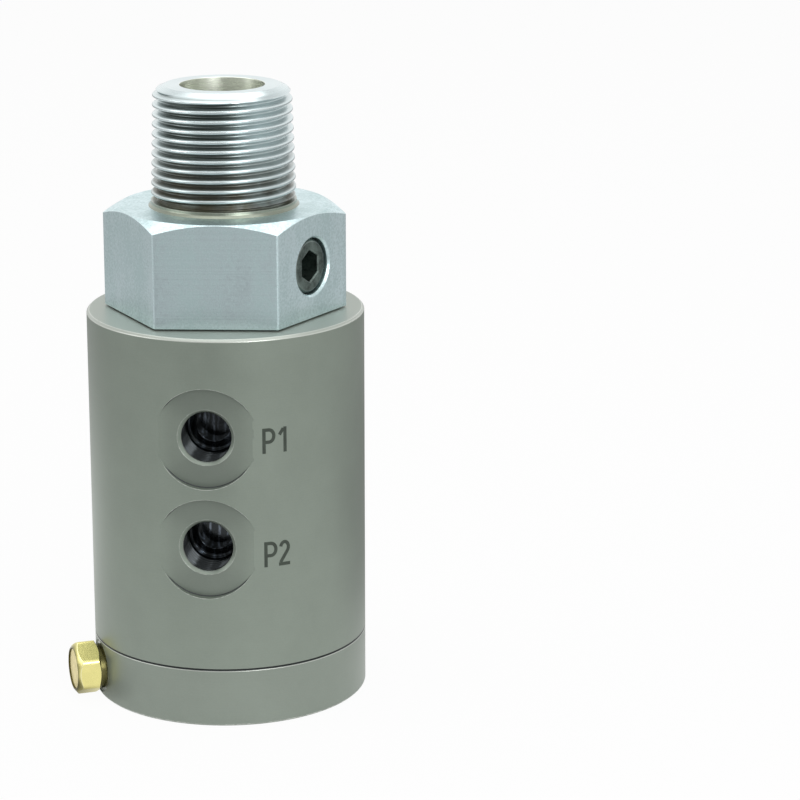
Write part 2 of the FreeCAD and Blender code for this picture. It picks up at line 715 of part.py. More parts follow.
def make_breather_body():
    """Brass breather: threaded stub, round collar, bevelled hexagon, and a cup for its disc."""
    body = new_body("breather_body")
    azimuth = S.breather_azimuth
    core = radial_sketch(body, "breather_core", azimuth, breather_z)
    stub_end = breather_seat - S.breather_thread_length
    cup_floor = breather_end - S.breather_cup_depth
    draw_outline(core, [
        (stub_end, S.breather_bore),
        (stub_end, S.breather_thread_radius - S.breather_thread_chamfer),
        (stub_end + S.breather_thread_chamfer, S.breather_thread_radius),
        (breather_seat, S.breather_thread_radius),
        (breather_seat, S.breather_collar_radius),
        (breather_back, S.breather_collar_radius),
        (breather_back, S.breather_face_radius),
        (breather_end, S.breather_face_radius),
        (breather_end, S.breather_cup_radius),
        (cup_floor, S.breather_cup_radius),
        (cup_floor, S.breather_bore),
    ])
    turned(body, "Revolution", core, "H_Axis")
    head = facing_sketch(body, "breather_hexagon", azimuth, breather_back, breather_z)
    draw_hexagon(head, S.breather_af, corner_up=True)
    draw_circle(head, S.breather_cup_radius)
    padded(body, head, S.breather_head)
    corner = S.breather_af / 2 * CORNER_RATIO + OVERRUN
    ends = (
        ("outer", breather_end, S.breather_face_radius, S.breather_face_bevel, -1),
        ("back", breather_back, S.breather_back_radius, S.breather_back_bevel, 1),
    )
    for name, face, radius, angle, inward in ends:
        drop = (corner - radius) * (sine(angle) / cosine(angle))
        bevel = radial_sketch(body, f"breather_{name}_bevel", azimuth, breather_z)
        draw_outline(bevel, [
            (face, radius),
            (face, corner),
            (face + drop * inward, corner),
        ])
        turned(body, "Groove", bevel, "H_Axis")
    return body


def make_breather_disc():
    """Sintered filter disc pressed into the breather's cup."""
    body = new_body("breather_disc")
    disc = radial_sketch(body, "disc_section", S.breather_azimuth, breather_z)
    floor = breather_end - S.breather_cup_depth
    draw_outline(disc, [
        (floor, 0),
        (floor, S.breather_cup_radius - S.seat_fit),
        (floor + S.disc_thickness, S.breather_cup_radius - S.seat_fit),
        (floor + S.disc_thickness, 0),
    ])
    turned(body, "Revolution", disc, "H_Axis")
    return body


# Turning parts


def make_rotor_shaft():
    """One-piece shaft: threaded nose, hexagon, shoulder, sealed stem and lower journal."""
    body = new_body("rotor_shaft")
    journal = S.low_bearing_bore
    groove_top = low_bearing_bottom
    groove_bottom = groove_top - S.circlip_thickness - S.seat_fit
    groove_floor = journal - S.circlip_depth
    collar_top = hex_top + S.collar_height
    tip_base = nose_top - S.nose_tip_chamfer
    tip_radius = S.nose_base_radius - (tip_base - collar_top) * THREAD_TAPER
    section = axial_sketch(body, "shaft_section")
    draw_outline(section, [
        (0, shaft_bottom),
        (journal - S.journal_chamfer, shaft_bottom),
        (journal, shaft_bottom + S.journal_chamfer),
        (journal, groove_bottom),
        (groove_floor, groove_bottom),
        (groove_floor, groove_top),
        (journal, groove_top),
        (journal, low_seat_top),
        (S.stem_radius, low_seat_top),
        (S.stem_radius, top_bearing_top),
        (shoulder_radius, top_bearing_top),
        (shoulder_radius, hex_bottom),
        (S.hex_core_radius, hex_bottom),
        (S.hex_core_radius, hex_top),
        (S.collar_radius + S.collar_root, hex_top),
        (S.collar_radius, hex_top + S.collar_root),
        (S.collar_radius, collar_top),
        (S.nose_base_radius, collar_top),
        (tip_radius, tip_base),
        (S.nose_rim_radius, nose_top - S.nose_rim_drop),
        (S.nose_tip_radius, nose_top),
        (S.mouth_radius, nose_top),
        (S.mouth_radius, lock_ring_top),
        (S.lock_ring_seat, lock_ring_top),
        (S.lock_ring_seat, flange_bottom),
        (S.annulus_radius, flange_bottom),
        (S.annulus_radius, tube_bottom),
        (S.chamber_radius, tube_bottom),
        (S.chamber_radius, chamber_bottom),
        (0, chamber_bottom - S.chamber_radius * DRILL_SLOPE),
    ])
    turned(body, "Revolution", section)

    hexagon = level_sketch(body, "hexagon", hex_bottom, S.outlet_azimuth + 30)
    draw_hexagon(hexagon, S.hex_af)
    draw_circle(hexagon, (S.hex_core_radius + S.lock_ring_seat) / 2)
    padded(body, hexagon, S.hex_height)
    bevel = axial_sketch(body, "hexagon_bevel")
    flat_circle = hex_face - S.hex_inset
    corner = hex_face * CORNER_RATIO + OVERRUN
    draw_outline(bevel, [
        (flat_circle, hex_top),
        (corner, hex_top),
        (corner, hex_top - (corner - flat_circle) * CHAMFER_SLOPE),
    ])
    turned(body, "Groove", bevel)

    outlet = radial_sketch(body, "side_outlet", S.outlet_azimuth, outlet_z)
    seat_floor = hex_face - S.outlet_depth
    draw_outline(outlet, [
        (S.annulus_radius - OVERRUN, 0),
        (S.annulus_radius - OVERRUN, S.outlet_drilling),
        (seat_floor, S.outlet_drilling),
        (seat_floor, S.outlet_radius - S.outlet_depth * THREAD_TAPER),
        (hex_face - S.outlet_mouth, S.outlet_radius),
        (hex_face, S.outlet_radius + S.outlet_mouth),
        (hex_face + OVERRUN, S.outlet_radius + S.outlet_mouth),
        (hex_face + OVERRUN, 0),
    ])
    turned(body, "Groove", outlet, "H_Axis")

    for name, level in (("high", high_port_z), ("low", low_port_z)):
        hole = facing_sketch(body, f"{name}_hole", S.outlet_azimuth, S.stem_radius + OVERRUN, level)
        draw_circle(hole, S.cross_hole_radius)
        pocket = pocketed(body, hole, S.stem_radius)
        patterned(body, [pocket], section, "V_Axis", CROSS_HOLE_COUNT)
    return body


def tube_ring_grooves():
    """Middle heights of the flow tube's O-ring grooves with the radius of the bore round each."""
    return {
        "upper": (flange_bottom + S.tube_flange_height / 2, S.lock_ring_seat),
        "lower": (tube_bottom + S.tube_collar_height / 2, S.annulus_radius),
    }


def make_flow_tube():
    """Flow tube with a lower collar and an upper flange, both grooved for O-rings."""
    body = new_body("flow_tube")
    collar = S.annulus_radius - S.running_fit
    flange = S.lock_ring_seat - S.running_fit
    half = S.tube_groove_width / 2
    grooves = tube_ring_grooves()
    low_level, _ = grooves["lower"]
    high_level, _ = grooves["upper"]
    low_floor = collar - S.tube_groove_depth
    high_floor = flange - S.tube_groove_depth
    section = axial_sketch(body, "tube_section")
    draw_outline(section, [
        (S.tube_bore, tube_bottom),
        (collar, tube_bottom),
        (collar, low_level - half),
        (low_floor, low_level - half),
        (low_floor, low_level + half),
        (collar, low_level + half),
        (collar, tube_bottom + S.tube_collar_height),
        (S.tube_radius, tube_bottom + S.tube_collar_height),
        (S.tube_radius, flange_bottom - S.tube_flange_slope),
        (collar, flange_bottom),
        (flange, flange_bottom),
        (flange, high_level - half),
        (high_floor, high_level - half),
        (high_floor, high_level + half),
        (flange, high_level + half),
        (flange, lock_ring_bottom),
        (S.tube_bore, lock_ring_bottom),
    ])
    turned(body, "Revolution", section)
    return body


def make_tube_o_rings():
    """Squeezed O-rings that seal the ends of the flow tube in the shaft."""
    rings = []
    for name, (level, wall) in tube_ring_grooves().items():
        inner = wall - S.running_fit - S.tube_groove_depth + S.seat_fit
        outer = wall - S.seat_fit
        half = S.tube_groove_width / 2 - S.seal_side_play
        rounding = (outer - inner) * CORD_ROUNDING
        rings.append(ring(f"tube_o_ring_{name}", inner, outer, level - half, level + half, rounding))
    return rings


def make_lock_ring():
    """Threaded ring that clamps the flow tube, with a driver slot across its face."""
    outer = S.lock_ring_seat - S.seat_fit
    body = ring("tube_lock_ring", S.lock_ring_bore, outer, lock_ring_bottom, lock_ring_top)
    slot = level_sketch(body, "driver_slot", lock_ring_top, S.lock_slot_azimuth)
    reach = S.lock_ring_seat + OVERRUN
    half = S.lock_slot_width / 2
    draw_outline(slot, [
        (reach * -1, half * -1),
        (reach, half * -1),
        (reach, half),
        (reach * -1, half),
    ])
    pocketed(body, slot, S.lock_slot_depth)
    return body


def make_outlet_plug():
    """Taper socket plug that shuts the side outlet."""
    body = new_body("outlet_plug")
    face = hex_face - S.plug_recess
    back = face - S.plug_length
    wall = S.outlet_radius - S.seat_fit
    front_radius = wall - (S.plug_recess - S.outlet_mouth) * THREAD_TAPER
    back_radius = front_radius - S.plug_length * THREAD_TAPER
    edge = S.plug_recess / 2
    blank = radial_sketch(body, "plug_section", S.outlet_azimuth, outlet_z)
    draw_outline(blank, [
        (back, 0),
        (back, back_radius - edge),
        (back + edge, back_radius),
        (face - edge, front_radius),
        (face, front_radius - edge),
        (face, 0),
    ])
    turned(body, "Revolution", blank, "H_Axis")
    socket = facing_sketch(body, "plug_socket", S.outlet_azimuth, face, outlet_z)
    draw_hexagon(socket, S.plug_socket_af, corner_up=True)
    pocketed(body, socket, S.plug_socket_depth)
    return body


def make_circlip():
    """Open retaining ring with two plier lugs, under the lower bearing."""
    inner = S.low_bearing_bore - S.circlip_depth + S.seat_fit
    outer = inner + S.circlip_width
    bottom = low_bearing_bottom - S.circlip_thickness
    middle = inner + S.circlip_width / 2
    lug_side = S.circlip_gap / 2 + S.circlip_lug
    disc = cylinder("circlip_disc", outer, S.circlip_thickness, bottom)
    lugs = []
    eyes = []
    for side in (-1, 1):
        lug = cylinder(f"circlip_lug_{len(lugs) + 1}", S.circlip_lug, S.circlip_thickness, bottom)
        eye = cylinder(f"circlip_eye_{len(eyes) + 1}", S.circlip_eye, S.circlip_thickness, bottom)
        for item in (lug, eye):
            bind(item, "Placement.Base.x", lug_side * side)
            bind(item, "Placement.Base.y", middle)
        lugs.append(lug)
        eyes.append(eye)
    hole = cylinder("circlip_bore", inner, S.circlip_thickness, bottom)
    gap = doc.addObject("Part::Box", "circlip_opening")
    bind(gap, "Length", S.circlip_gap)
    bind(gap, "Width", outer * 2)
    bind(gap, "Height", S.circlip_thickness)
    bind(gap, "Placement.Base.x", S.circlip_gap * -0.5)
    bind(gap, "Placement.Base.z", bottom)
    blank = union("circlip_blank", [disc] + lugs)
    clip = difference("shaft_circlip", blank, union("circlip_voids", [hole, gap] + eyes))
    clip.Label = "shaft_circlip"
    return clip


def make_all():
    """Every piece of the union, in assembly order."""
    pieces = [make_housing(), make_end_cap(), make_cap_screws()]
    half_play = S.seal_side_play / 2
    pieces.append(ring(
        "cap_o_ring",
        spigot_radius + half_play,
        cap_groove_radius - half_play,
        joint_z - S.cap_ring_depth,
        joint_z,
        S.cap_ring_depth * CORD_ROUNDING,
    ))
    for name, level in seal_levels().items():
        pieces += make_seal(name, level)
    pieces += [make_dust_seal(), make_breather_body(), make_breather_disc()]
    pieces += make_bearing(
        "top_bearing", S.stem_radius, top_bearing_outer, top_bearing_pitch, top_seat_z
    )
    pieces += make_bearing(
        "low_bearing",
        S.low_bearing_bore,
        low_bearing_outer,
        low_bearing_pitch,
        low_bearing_bottom,
    )
    pieces += [make_rotor_shaft(), make_flow_tube(), make_lock_ring(), make_outlet_plug()]
    pieces += make_tube_o_rings()
    pieces.append(make_circlip())
    return pieces


def check(pieces):
    """Stop if an object failed to compute or a piece has no valid solid."""
    for item in doc.Objects:
        bad = [state for state in item.State if state in ("Invalid", "Error")]
        if bad:
            raise RuntimeError(f"{item.Label} is {bad}")
    for piece in pieces:
        shape = piece.Shape
        if shape.isNull() or not shape.isValid() or not shape.Solids:
            raise RuntimeError(f"{piece.Label} has no valid solid")


def main():
    """Build the document, check it and write one file for each piece."""
    pieces = make_all()
    doc.recompute()
    check(pieces)
    os.makedirs("parts", exist_ok=True)
    for piece in pieces:
        piece.Shape.exportStep(f"parts/{piece.Label}.step")
        box = piece.Shape.BoundBox
        print(
            f"{piece.Label:24s} solids {len(piece.Shape.Solids):2d} volume {piece.Shape.Volume:10.1f} "
            f"z {box.ZMin:6.2f} {box.ZMax:6.2f} x {box.XMin:6.2f} {box.XMax:6.2f}"
        )


main()
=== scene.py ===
"""Looks of a hydraulic rotary union with two passages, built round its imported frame.

The housing stands on its end cap and the rotor turns in it: a hexagon with a taper-threaded nose, a
socket plug in one hexagon face, and a sealed stem that runs on two ball bearings. Lengths are in
millimetres until a mesh is made, which is in metres. Azimuths count from -Y towards +X, in degrees.
"""

from __future__ import annotations

import json
import logging
import math
from collections.abc import Callable, Mapping, Sequence
from dataclasses import dataclass, field
from enum import Enum

import bmesh
import bpy
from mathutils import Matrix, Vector


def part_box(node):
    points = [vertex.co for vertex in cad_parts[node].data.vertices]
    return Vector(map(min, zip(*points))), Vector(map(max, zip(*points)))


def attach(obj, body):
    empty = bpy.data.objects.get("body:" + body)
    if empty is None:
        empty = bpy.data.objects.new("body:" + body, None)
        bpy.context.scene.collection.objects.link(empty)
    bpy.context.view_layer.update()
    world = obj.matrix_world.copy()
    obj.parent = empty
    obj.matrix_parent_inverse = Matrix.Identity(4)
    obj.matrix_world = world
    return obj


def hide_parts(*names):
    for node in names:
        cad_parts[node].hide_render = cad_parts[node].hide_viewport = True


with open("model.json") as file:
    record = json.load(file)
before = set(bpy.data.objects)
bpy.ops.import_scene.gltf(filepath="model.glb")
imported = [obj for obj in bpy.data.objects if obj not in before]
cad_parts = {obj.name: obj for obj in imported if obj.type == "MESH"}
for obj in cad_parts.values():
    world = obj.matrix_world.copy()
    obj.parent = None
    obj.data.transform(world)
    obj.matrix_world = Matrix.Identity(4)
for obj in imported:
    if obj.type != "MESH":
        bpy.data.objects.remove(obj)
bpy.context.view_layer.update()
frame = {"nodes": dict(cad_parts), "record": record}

LOG = logging.getLogger("rotary_union")
MM = 0.001
TURN = 2 * math.pi
MERGE_DISTANCE = 0.0004
QUARTER_TURN = 0.25
CORNER_STEPS = 4
SHARP_ANGLE = math.radians(40)

Corner = tuple[float, ...]
OutlinePoint = tuple[float, float, float]
Column = list[tuple[Vector, float]]


def box_mm(node: str) -> tuple[Vector, Vector]:
    """Lowest and highest corner of a frame node in millimetres.

    Args:
        node: Name of the node.

    Returns:
        The two corners.
    """
    low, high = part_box(node)
    return Vector(low) / MM, Vector(high) / MM


def mount_mm(name: str) -> tuple[Vector, float, float]:
    """Place, radius and length of a round mount of the record, in millimetres.

    Args:
        name: Name of the mount.

    Returns:
        The point on its axis, its radius and its length.
    """
    mount = next(item for item in frame["record"]["mounts"] if item["name"] == name)
    return Vector(mount["pos_m"]) / MM, mount["dims"]["r_mm"], mount["dims"]["length_mm"]


def smoothstep(low: float, high: float, value: float) -> float:
    """Share of the way from low to high, eased at both ends.

    Args:
        low: Value at which the share is 0.
        high: Value at which the share is 1.
        value: The value.

    Returns:
        The share.
    """
    share = min(max((value - low) / (high - low), 0.0), 1.0)
    return share * share * (3 - 2 * share)


class Body(Enum):
    """Bodies of the frame that pieces ride on."""

    STATOR = "stator"
    ROTOR = "rotor"


@dataclass(frozen=True)
class Axis:
    """A line that round pieces are turned about.

    Attributes:
        start: Point from which distances along the line count.
        out: Way in which they count.
        zero: Way in which turns start.
    """

    start: Vector
    out: Vector
    zero: Vector

    @classmethod
    def main(cls) -> Axis:
        """The union's own axis, upwards from the base, with turns as azimuths."""
        return cls(Vector((0, 0, 0)), Vector((0, 0, 1)), Vector((0, -1, 0)))

    @classmethod
    def radial(cls, azimuth: float, height: float) -> Axis:
        """A line out of the main axis, with turns from straight up, anticlockwise from outside.

        Args:
            azimuth: Azimuth of the line in degrees.
            height: Height of the line.

        Returns:
            The line.
        """
        angle = math.radians(azimuth)
        return cls(Vector((0, 0, height)), Vector((math.sin(angle), -math.cos(angle), 0)), Vector((0, 0, 1)))

    def at(self, along: float, radius: float, turn: float) -> Vector:
        """A point by its distance along the line, its distance from it and its turn in radians.

        Args:
            along: Distance along the line.
            radius: Distance from the line.
            turn: Turn about the line.

        Returns:
            The point.
        """
        side = self.out.cross(self.zero)
        spoke = self.zero * math.cos(turn) + side * math.sin(turn)
        return self.start + self.out * along + spoke * radius


def rounded(corners: Sequence[Corner], closed: bool = False, steps: int = 4) -> list[OutlinePoint]:
    """An outline with its corners rounded.

    Args:
        corners: Each corner as distance along, radius and, where it is rounded, the length that the
            rounding takes of each side. A fourth number is the edge weight of the side after it,
            under 0 for a side darkened as painted shade, whose roundings get that shade too.
        closed: True where the last corner is joined to the first.
        steps: Number of straight steps in a rounding.

    Returns:
        Points of distance along, radius and edge weight, which is 1 inside a rounding; over 0 it lightens a
        surface as wear and painted highlight.
    """
    count = len(corners)
    weights = [corner[3] if len(corner) > 3 else 0.0 for corner in corners]
    points: list[OutlinePoint] = []
    for index, corner in enumerate(corners):
        here = Vector(corner[:2])
        size = corner[2] if len(corner) > 2 else 0.0
        if size <= 0 or (not closed and index in (0, count - 1)):
            points.append((here.x, here.y, 0.0))
            continue
        before = Vector(corners[index - 1][:2])
        after = Vector(corners[(index + 1) % count][:2])
        start = here + (before - here).normalized() * size
        end = here + (after - here).normalized() * size
        for step in range(steps + 1):
            share = step / steps
            point = start * (1 - share) ** 2 + here * 2 * share * (1 - share) + end * share * share
            inner = min(weights[index - 1], weights[index])
            weight = weights[index - 1] if step == 0 else weights[index] if step == steps else 1.0
            points.append((point.x, point.y, inner if inner < 0 else weight))
    return points


def hexagon_reaches(
    across_flats: float, corner: float = 0.0, per_face: int = 16, first_corner: float = 0.0
) -> list[tuple[float, float]]:
    """Turns and reaches of points round a hexagon whose corners are rounded.

    Args:
        across_flats: Distance across the flats.
        corner: Length that a corner's rounding takes of each side.
        per_face: Number of steps along a face.
        first_corner: Turn of the first corner in radians.

    Returns:
        Pairs of turn in radians and distance from the centre.
    """
    reach = across_flats / math.sqrt(3)
    tips = [Vector((math.cos(TURN / 6 * i), math.sin(TURN / 6 * i))) * reach for i in range(6)]
    points = []
    for index, tip in enumerate(tips):
        after = tips[(index + 1) % 6]
        along = (after - tip).normalized()
        back = (tips[index - 1] - tip).normalized()
        if corner > 0:
            for step in range(CORNER_STEPS + 1):
                share = step / CORNER_STEPS
                ends = (tip + back * corner) * (1 - share) ** 2 + (tip + along * corner) * share * share
                points.append(ends + tip * 2 * share * (1 - share))
        else:
            points.append(tip)
        start = tip + along * corner
        end = after - along * corner
        points += [start.lerp(end, step / per_face) for step in range(1, per_face)]
    return [(first_corner + math.atan2(p.y, p.x) % TURN, p.length) for p in points]


class Skin:
    """A mesh under construction, made of columns of points that are joined side by side."""

    def __init__(self) -> None:
        """Start an empty mesh."""
        self.mesh = bmesh.new()
        self.edge = self.mesh.verts.layers.float.new("edge")

    def point(self, place: Vector, edge: float = 0.0) -> bmesh.types.BMVert:
        """Add one point, given in millimetres.

        Args:
            place: The point.
            edge: Its edge weight.

        Returns:
            The vertex.
        """
        vertex = self.mesh.verts.new(place * MM)
        vertex[self.edge] = edge
        return vertex

    def face(self, *corners: bmesh.types.BMVert) -> None:
        """Add a face, less the corners that are the same vertex."""
        distinct = list(dict.fromkeys(corners))
        if len(distinct) > 2:
            self.mesh.faces.new(distinct)

    def sweep(self, columns: Sequence[Column], loop: bool = True, closed: bool = False) -> None:
        """Join columns of points side by side.

        Args:
            columns: Columns of as many points each.
            loop: True where the last column is joined to the first.
            closed: True where the last point of a column is joined to its first.
        """
        grid = [[self.point(place, edge) for place, edge in column] for column in columns]
        height = len(grid[0])
        for index in range(len(grid) if loop else len(grid) - 1):
            here = grid[index]
            after = grid[(index + 1) % len(grid)]
            for row in range(height if closed else height - 1):
                above = (row + 1) % height
                self.face(here[row], after[row], after[above], here[above])

    def turned(
        self, axis: Axis, outline: Sequence[OutlinePoint], segments: int = 192, closed: bool = False
    ) -> None:
        """Turn an outline about an axis.

        Args:
            axis: The axis.
            outline: Points of distance along, radius and edge weight.
            segments: Number of columns.
            closed: True where the outline is a loop.
        """
        columns = []
        for index in range(segments):
            turn = TURN * index / segments
            columns.append([(axis.at(along, radius, turn), edge) for along, radius, edge in outline])
        self.sweep(columns, closed=closed)

    def tidy(self) -> None:
        """Merge points that lie on each other and turn all faces outwards."""
        bmesh.ops.remove_doubles(self.mesh, verts=self.mesh.verts, dist=MERGE_DISTANCE * MM)
        bmesh.ops.dissolve_degenerate(self.mesh, edges=self.mesh.edges, dist=MERGE_DISTANCE * MM)
        bmesh.ops.recalc_face_normals(self.mesh, faces=self.mesh.faces)

    def to_mesh(self, name: str) -> bpy.types.Mesh:
        """Finish the mesh.

        Args:
            name: Name of the mesh.

        Returns:
            The mesh.
        """
        self.tidy()
        mesh = bpy.data.meshes.new(name)
        self.mesh.to_mesh(mesh)
        self.mesh.free()
        mesh.shade_smooth()
        mesh.set_sharp_from_angle(angle=SHARP_ANGLE)
        return mesh


def carved(name: str, base: bpy.types.Mesh, cutters: Sequence[bpy.types.Mesh]) -> bpy.types.Mesh:
    """Cut meshes out of a mesh.

    Args:
        name: Name of the result.
        base: The mesh that is cut.
        cutters: The meshes that are taken away.

    Returns:
        The mesh that is left.
    """
    blank = bpy.data.objects.new(f"{name}_blank", base)
    bpy.context.scene.collection.objects.link(blank)
    tools = []
    for index, cutter in enumerate(cutters):
        tool = bpy.data.objects.new(f"{name}_cutter_{index}", cutter)
        bpy.context.scene.collection.objects.link(tool)
        cut = blank.modifiers.new(f"cut_{index}", "BOOLEAN")
        cut.operation = "DIFFERENCE"
        cut.solver = "EXACT"
        cut.object = tool
        tools.append(tool)
    graph = bpy.context.evaluated_depsgraph_get()
    result = bpy.data.meshes.new_from_object(blank.evaluated_get(graph))
    result.name = name
    for item in [blank, *tools]:
        bpy.data.objects.remove(item)
    result.shade_smooth()
    result.set_sharp_from_angle(angle=SHARP_ANGLE)
    return result


def add_piece(
    name: str,
    mesh: bpy.types.Mesh,
    finish: bpy.types.Material,
    body: Body,
    nodes: Sequence[str] = (),
) -> bpy.types.Object:
    """Put a mesh into the scene as a piece of the object.

    Args:
        name: Name of the piece.
        mesh: Its mesh.
        finish: Its material.
        body: The body that it rides on.
        nodes: The frame nodes that it stands for.

    Returns:
        The piece.
    """
    mesh.materials.clear()
    mesh.materials.append(finish)
    piece = bpy.data.objects.new(name, mesh)
    bpy.context.scene.collection.objects.link(piece)
    normals = piece.modifiers.new("weighted normals", "WEIGHTED_NORMAL")
    normals.keep_sharp = True
    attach(piece, body.value)
    if nodes:
        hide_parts(*nodes)
    LOG.info("%s: %d faces on %s", name, len(mesh.polygons), body.value)
    return piece


class Signal:
    """A number from a node's socket, with operators that add Math nodes."""

    def __init__(self, graph: Graph, socket: bpy.types.NodeSocket) -> None:
        """Wrap a socket of a graph."""
        self.graph = graph
        self.socket = socket

    def __add__(self, other: Signal | float) -> Signal:
        """Sum."""
        return self.graph.maths("ADD", self, other)

    def __radd__(self, other: float) -> Signal:
        """Sum."""
        return self.graph.maths("ADD", other, self)

    def __sub__(self, other: Signal | float) -> Signal:
        """Difference."""
        return self.graph.maths("SUBTRACT", self, other)

    def __rsub__(self, other: float) -> Signal:
        """Difference."""
        return self.graph.maths("SUBTRACT", other, self)

    def __mul__(self, other: Signal | float) -> Signal:
        """Product."""
        return self.graph.maths("MULTIPLY", self, other)

    def __rmul__(self, other: float) -> Signal:
        """Product."""
        return self.graph.maths("MULTIPLY", other, self)

    def __truediv__(self, other: Signal | float) -> Signal:
        """Quotient."""
        return self.graph.maths("DIVIDE", self, other)

    def __pow__(self, other: Signal | float) -> Signal:
        """Power."""
        return self.graph.maths("POWER", self, other)

    def magnitude(self) -> Signal:
        """The number without its sign."""
        return self.graph.maths("ABSOLUTE", self)

    def joined(self, other: Signal) -> Signal:
        """Mask that holds where this mask or another one holds."""
        return 1 - (1 - self) * (1 - other)

    def between(self, low: float, high: float) -> Signal:
        """Eased share of the way from low to high.

        Args:
            low: Value at which the share is 0.
            high: Value at which the share is 1.

        Returns:
            The share.
        """
        made = self.graph.node(
            "ShaderNodeMapRange",
            {"interpolation_type": "SMOOTHSTEP"},
            {"Value": self, "From Min": low, "From Max": high},
        )
        return Signal(self.graph, made.outputs["Result"])


class Graph:
    """The node tree of one material or of the world."""

    def __init__(self, tree: bpy.types.NodeTree) -> None:
        """Empty a node tree."""
        self.tree = tree
        tree.nodes.clear()

    def node(
        self, kind: str, settings: Mapping[str, object], sockets: Mapping[str | int, object]
    ) -> bpy.types.Node:
        """Add a node.

        Args:
            kind: Type of the node.
            settings: Its settings, such as an operation, which are set first.
            sockets: Values or links of its inputs.

        Returns:
            The node.
        """
        made = self.tree.nodes.new(kind)
        for name, value in settings.items():
            setattr(made, name, value)
        for key, value in sockets.items():
            source = value.socket if isinstance(value, Signal) else value
            if isinstance(source, bpy.types.NodeSocket):
                self.tree.links.new(source, made.inputs[key])
            else:
                made.inputs[key].default_value = source
        return made

    def maths(self, operation: str, first: Signal | float, second: Signal | float = 0.0) -> Signal:
        """Add a Math node.

        Args:
            operation: Its operation.
            first: Its first number.
            second: Its second number.

        Returns:
            The result.
        """
        made = self.node("ShaderNodeMath", {"operation": operation}, {0: first, 1: second})
        return Signal(self, made.outputs[0])

    def place(self, stretch: Sequence[float] = (1.0, 1.0, 1.0)) -> bpy.types.NodeSocket:
        """Place on the object in millimetres.

        Args:
            stretch: Factor of each axis.

        Returns:
            The vector.
        """
        source = self.node("ShaderNodeTexCoord", {}, {}).outputs["Object"]
        factors = [part / MM for part in stretch]
        made = self.node("ShaderNodeVectorMath", {"operation": "MULTIPLY"}, {0: source, 1: factors})
        return made.outputs[0]

    def coordinates(self) -> tuple[Signal, Signal, Signal]:
        """The three coordinates of the place in millimetres."""
        parts = self.node("ShaderNodeSeparateXYZ", {}, {0: self.place()})
        return tuple(Signal(self, output) for output in parts.outputs)

    def noise(
        self, scale: float, detail: float = 2.0, stretch: Sequence[float] = (1.0, 1.0, 1.0)
    ) -> Signal:
        """Noise between 0 and 1 over the place.

        Args:
            scale: Number of features in a millimetre.
            detail: Number of finer layers.
            stretch: Factor of each axis.

        Returns:
            The noise.
        """
        made = self.node(
            "ShaderNodeTexNoise",
            {},
            {"Vector": self.place(stretch), "Scale": scale, "Detail": detail, "Roughness": 0.55},
        )
        return Signal(self, made.outputs["Fac"])

    def line_noise(self, value: Signal, scale: float, detail: float = 1.0) -> Signal:
        """Noise between 0 and 1 over one number, for turned marks.

        Args:
            value: The number.
            scale: Number of features in one unit.
            detail: Number of finer layers.

        Returns:
            The noise.
        """
        made = self.node(
            "ShaderNodeTexNoise",
            {"noise_dimensions": "1D"},
            {"W": value, "Scale": scale, "Detail": detail, "Roughness": 0.6},
        )
        return Signal(self, made.outputs["Fac"])

    def wear_and_highlight(self) -> Signal:
        """Mask of worn edges with painted highlights, where the mesh's edge weight is over 0."""
        made = self.node("ShaderNodeAttribute", {"attribute_name": "edge"}, {})
        return self.maths("MAXIMUM", Signal(self, made.outputs["Fac"]), 0.0)

    def crease_shade(self) -> Signal:
        """Mask of painted shade in creases and recesses, where the mesh's edge weight is under 0."""
        made = self.node("ShaderNodeAttribute", {"attribute_name": "edge"}, {})
        return self.maths("MAXIMUM", 0 - Signal(self, made.outputs["Fac"]), 0.0)

    def mixed(
        self, share: Signal, low: Sequence[float] | bpy.types.NodeSocket, high: Sequence[float]
    ) -> bpy.types.NodeSocket:
        """Mix two colours.

        Args:
            share: Share of the second colour.
            low: First colour.
            high: Second colour.

        Returns:
            The colour.
        """
        first = low if isinstance(low, bpy.types.NodeSocket) else (*low, 1)
        second = high if isinstance(high, bpy.types.NodeSocket) else (*high, 1)
        made = self.node("ShaderNodeMix", {"data_type": "RGBA"}, {0: share, 6: first, 7: second})
        return made.outputs[2]

    def bump(self, height: Signal, distance: float) -> bpy.types.NodeSocket:
        """Normal of a bumpy surface.

        Args:
            height: Height between 0 and 1.
            distance: Depth of the bumps in millimetres.

        Returns:
            The normal.
        """
        sockets = {"Height": height, "Distance": distance * MM, "Strength": 1.0}
        return self.node("ShaderNodeBump", {}, sockets).outputs["Normal"]

    def surface(self, sockets: Mapping[str, object]) -> None:
        """End the graph in a surface shader.

        Args:
            sockets: Values or links of the shader's inputs.
        """
        shader = self.node("ShaderNodeBsdfPrincipled", {}, sockets)
        self.node("ShaderNodeOutputMaterial", {}, {"Surface": shader.outputs[0]})


def new_graph(name: str) -> tuple[bpy.types.Material, Graph]:
    """A new material and its empty graph.

    Args:
        name: Name of the material.

    Returns:
        The material and the graph.
    """
    material = bpy.data.materials.new(name)
    material.use_nodes = True
    return material, Graph(material.node_tree)


Colour = tuple[float, float, float]


def scaled(colour: Colour, factor: float) -> Colour:
    """A colour times a number."""
    return tuple(part * factor for part in colour)


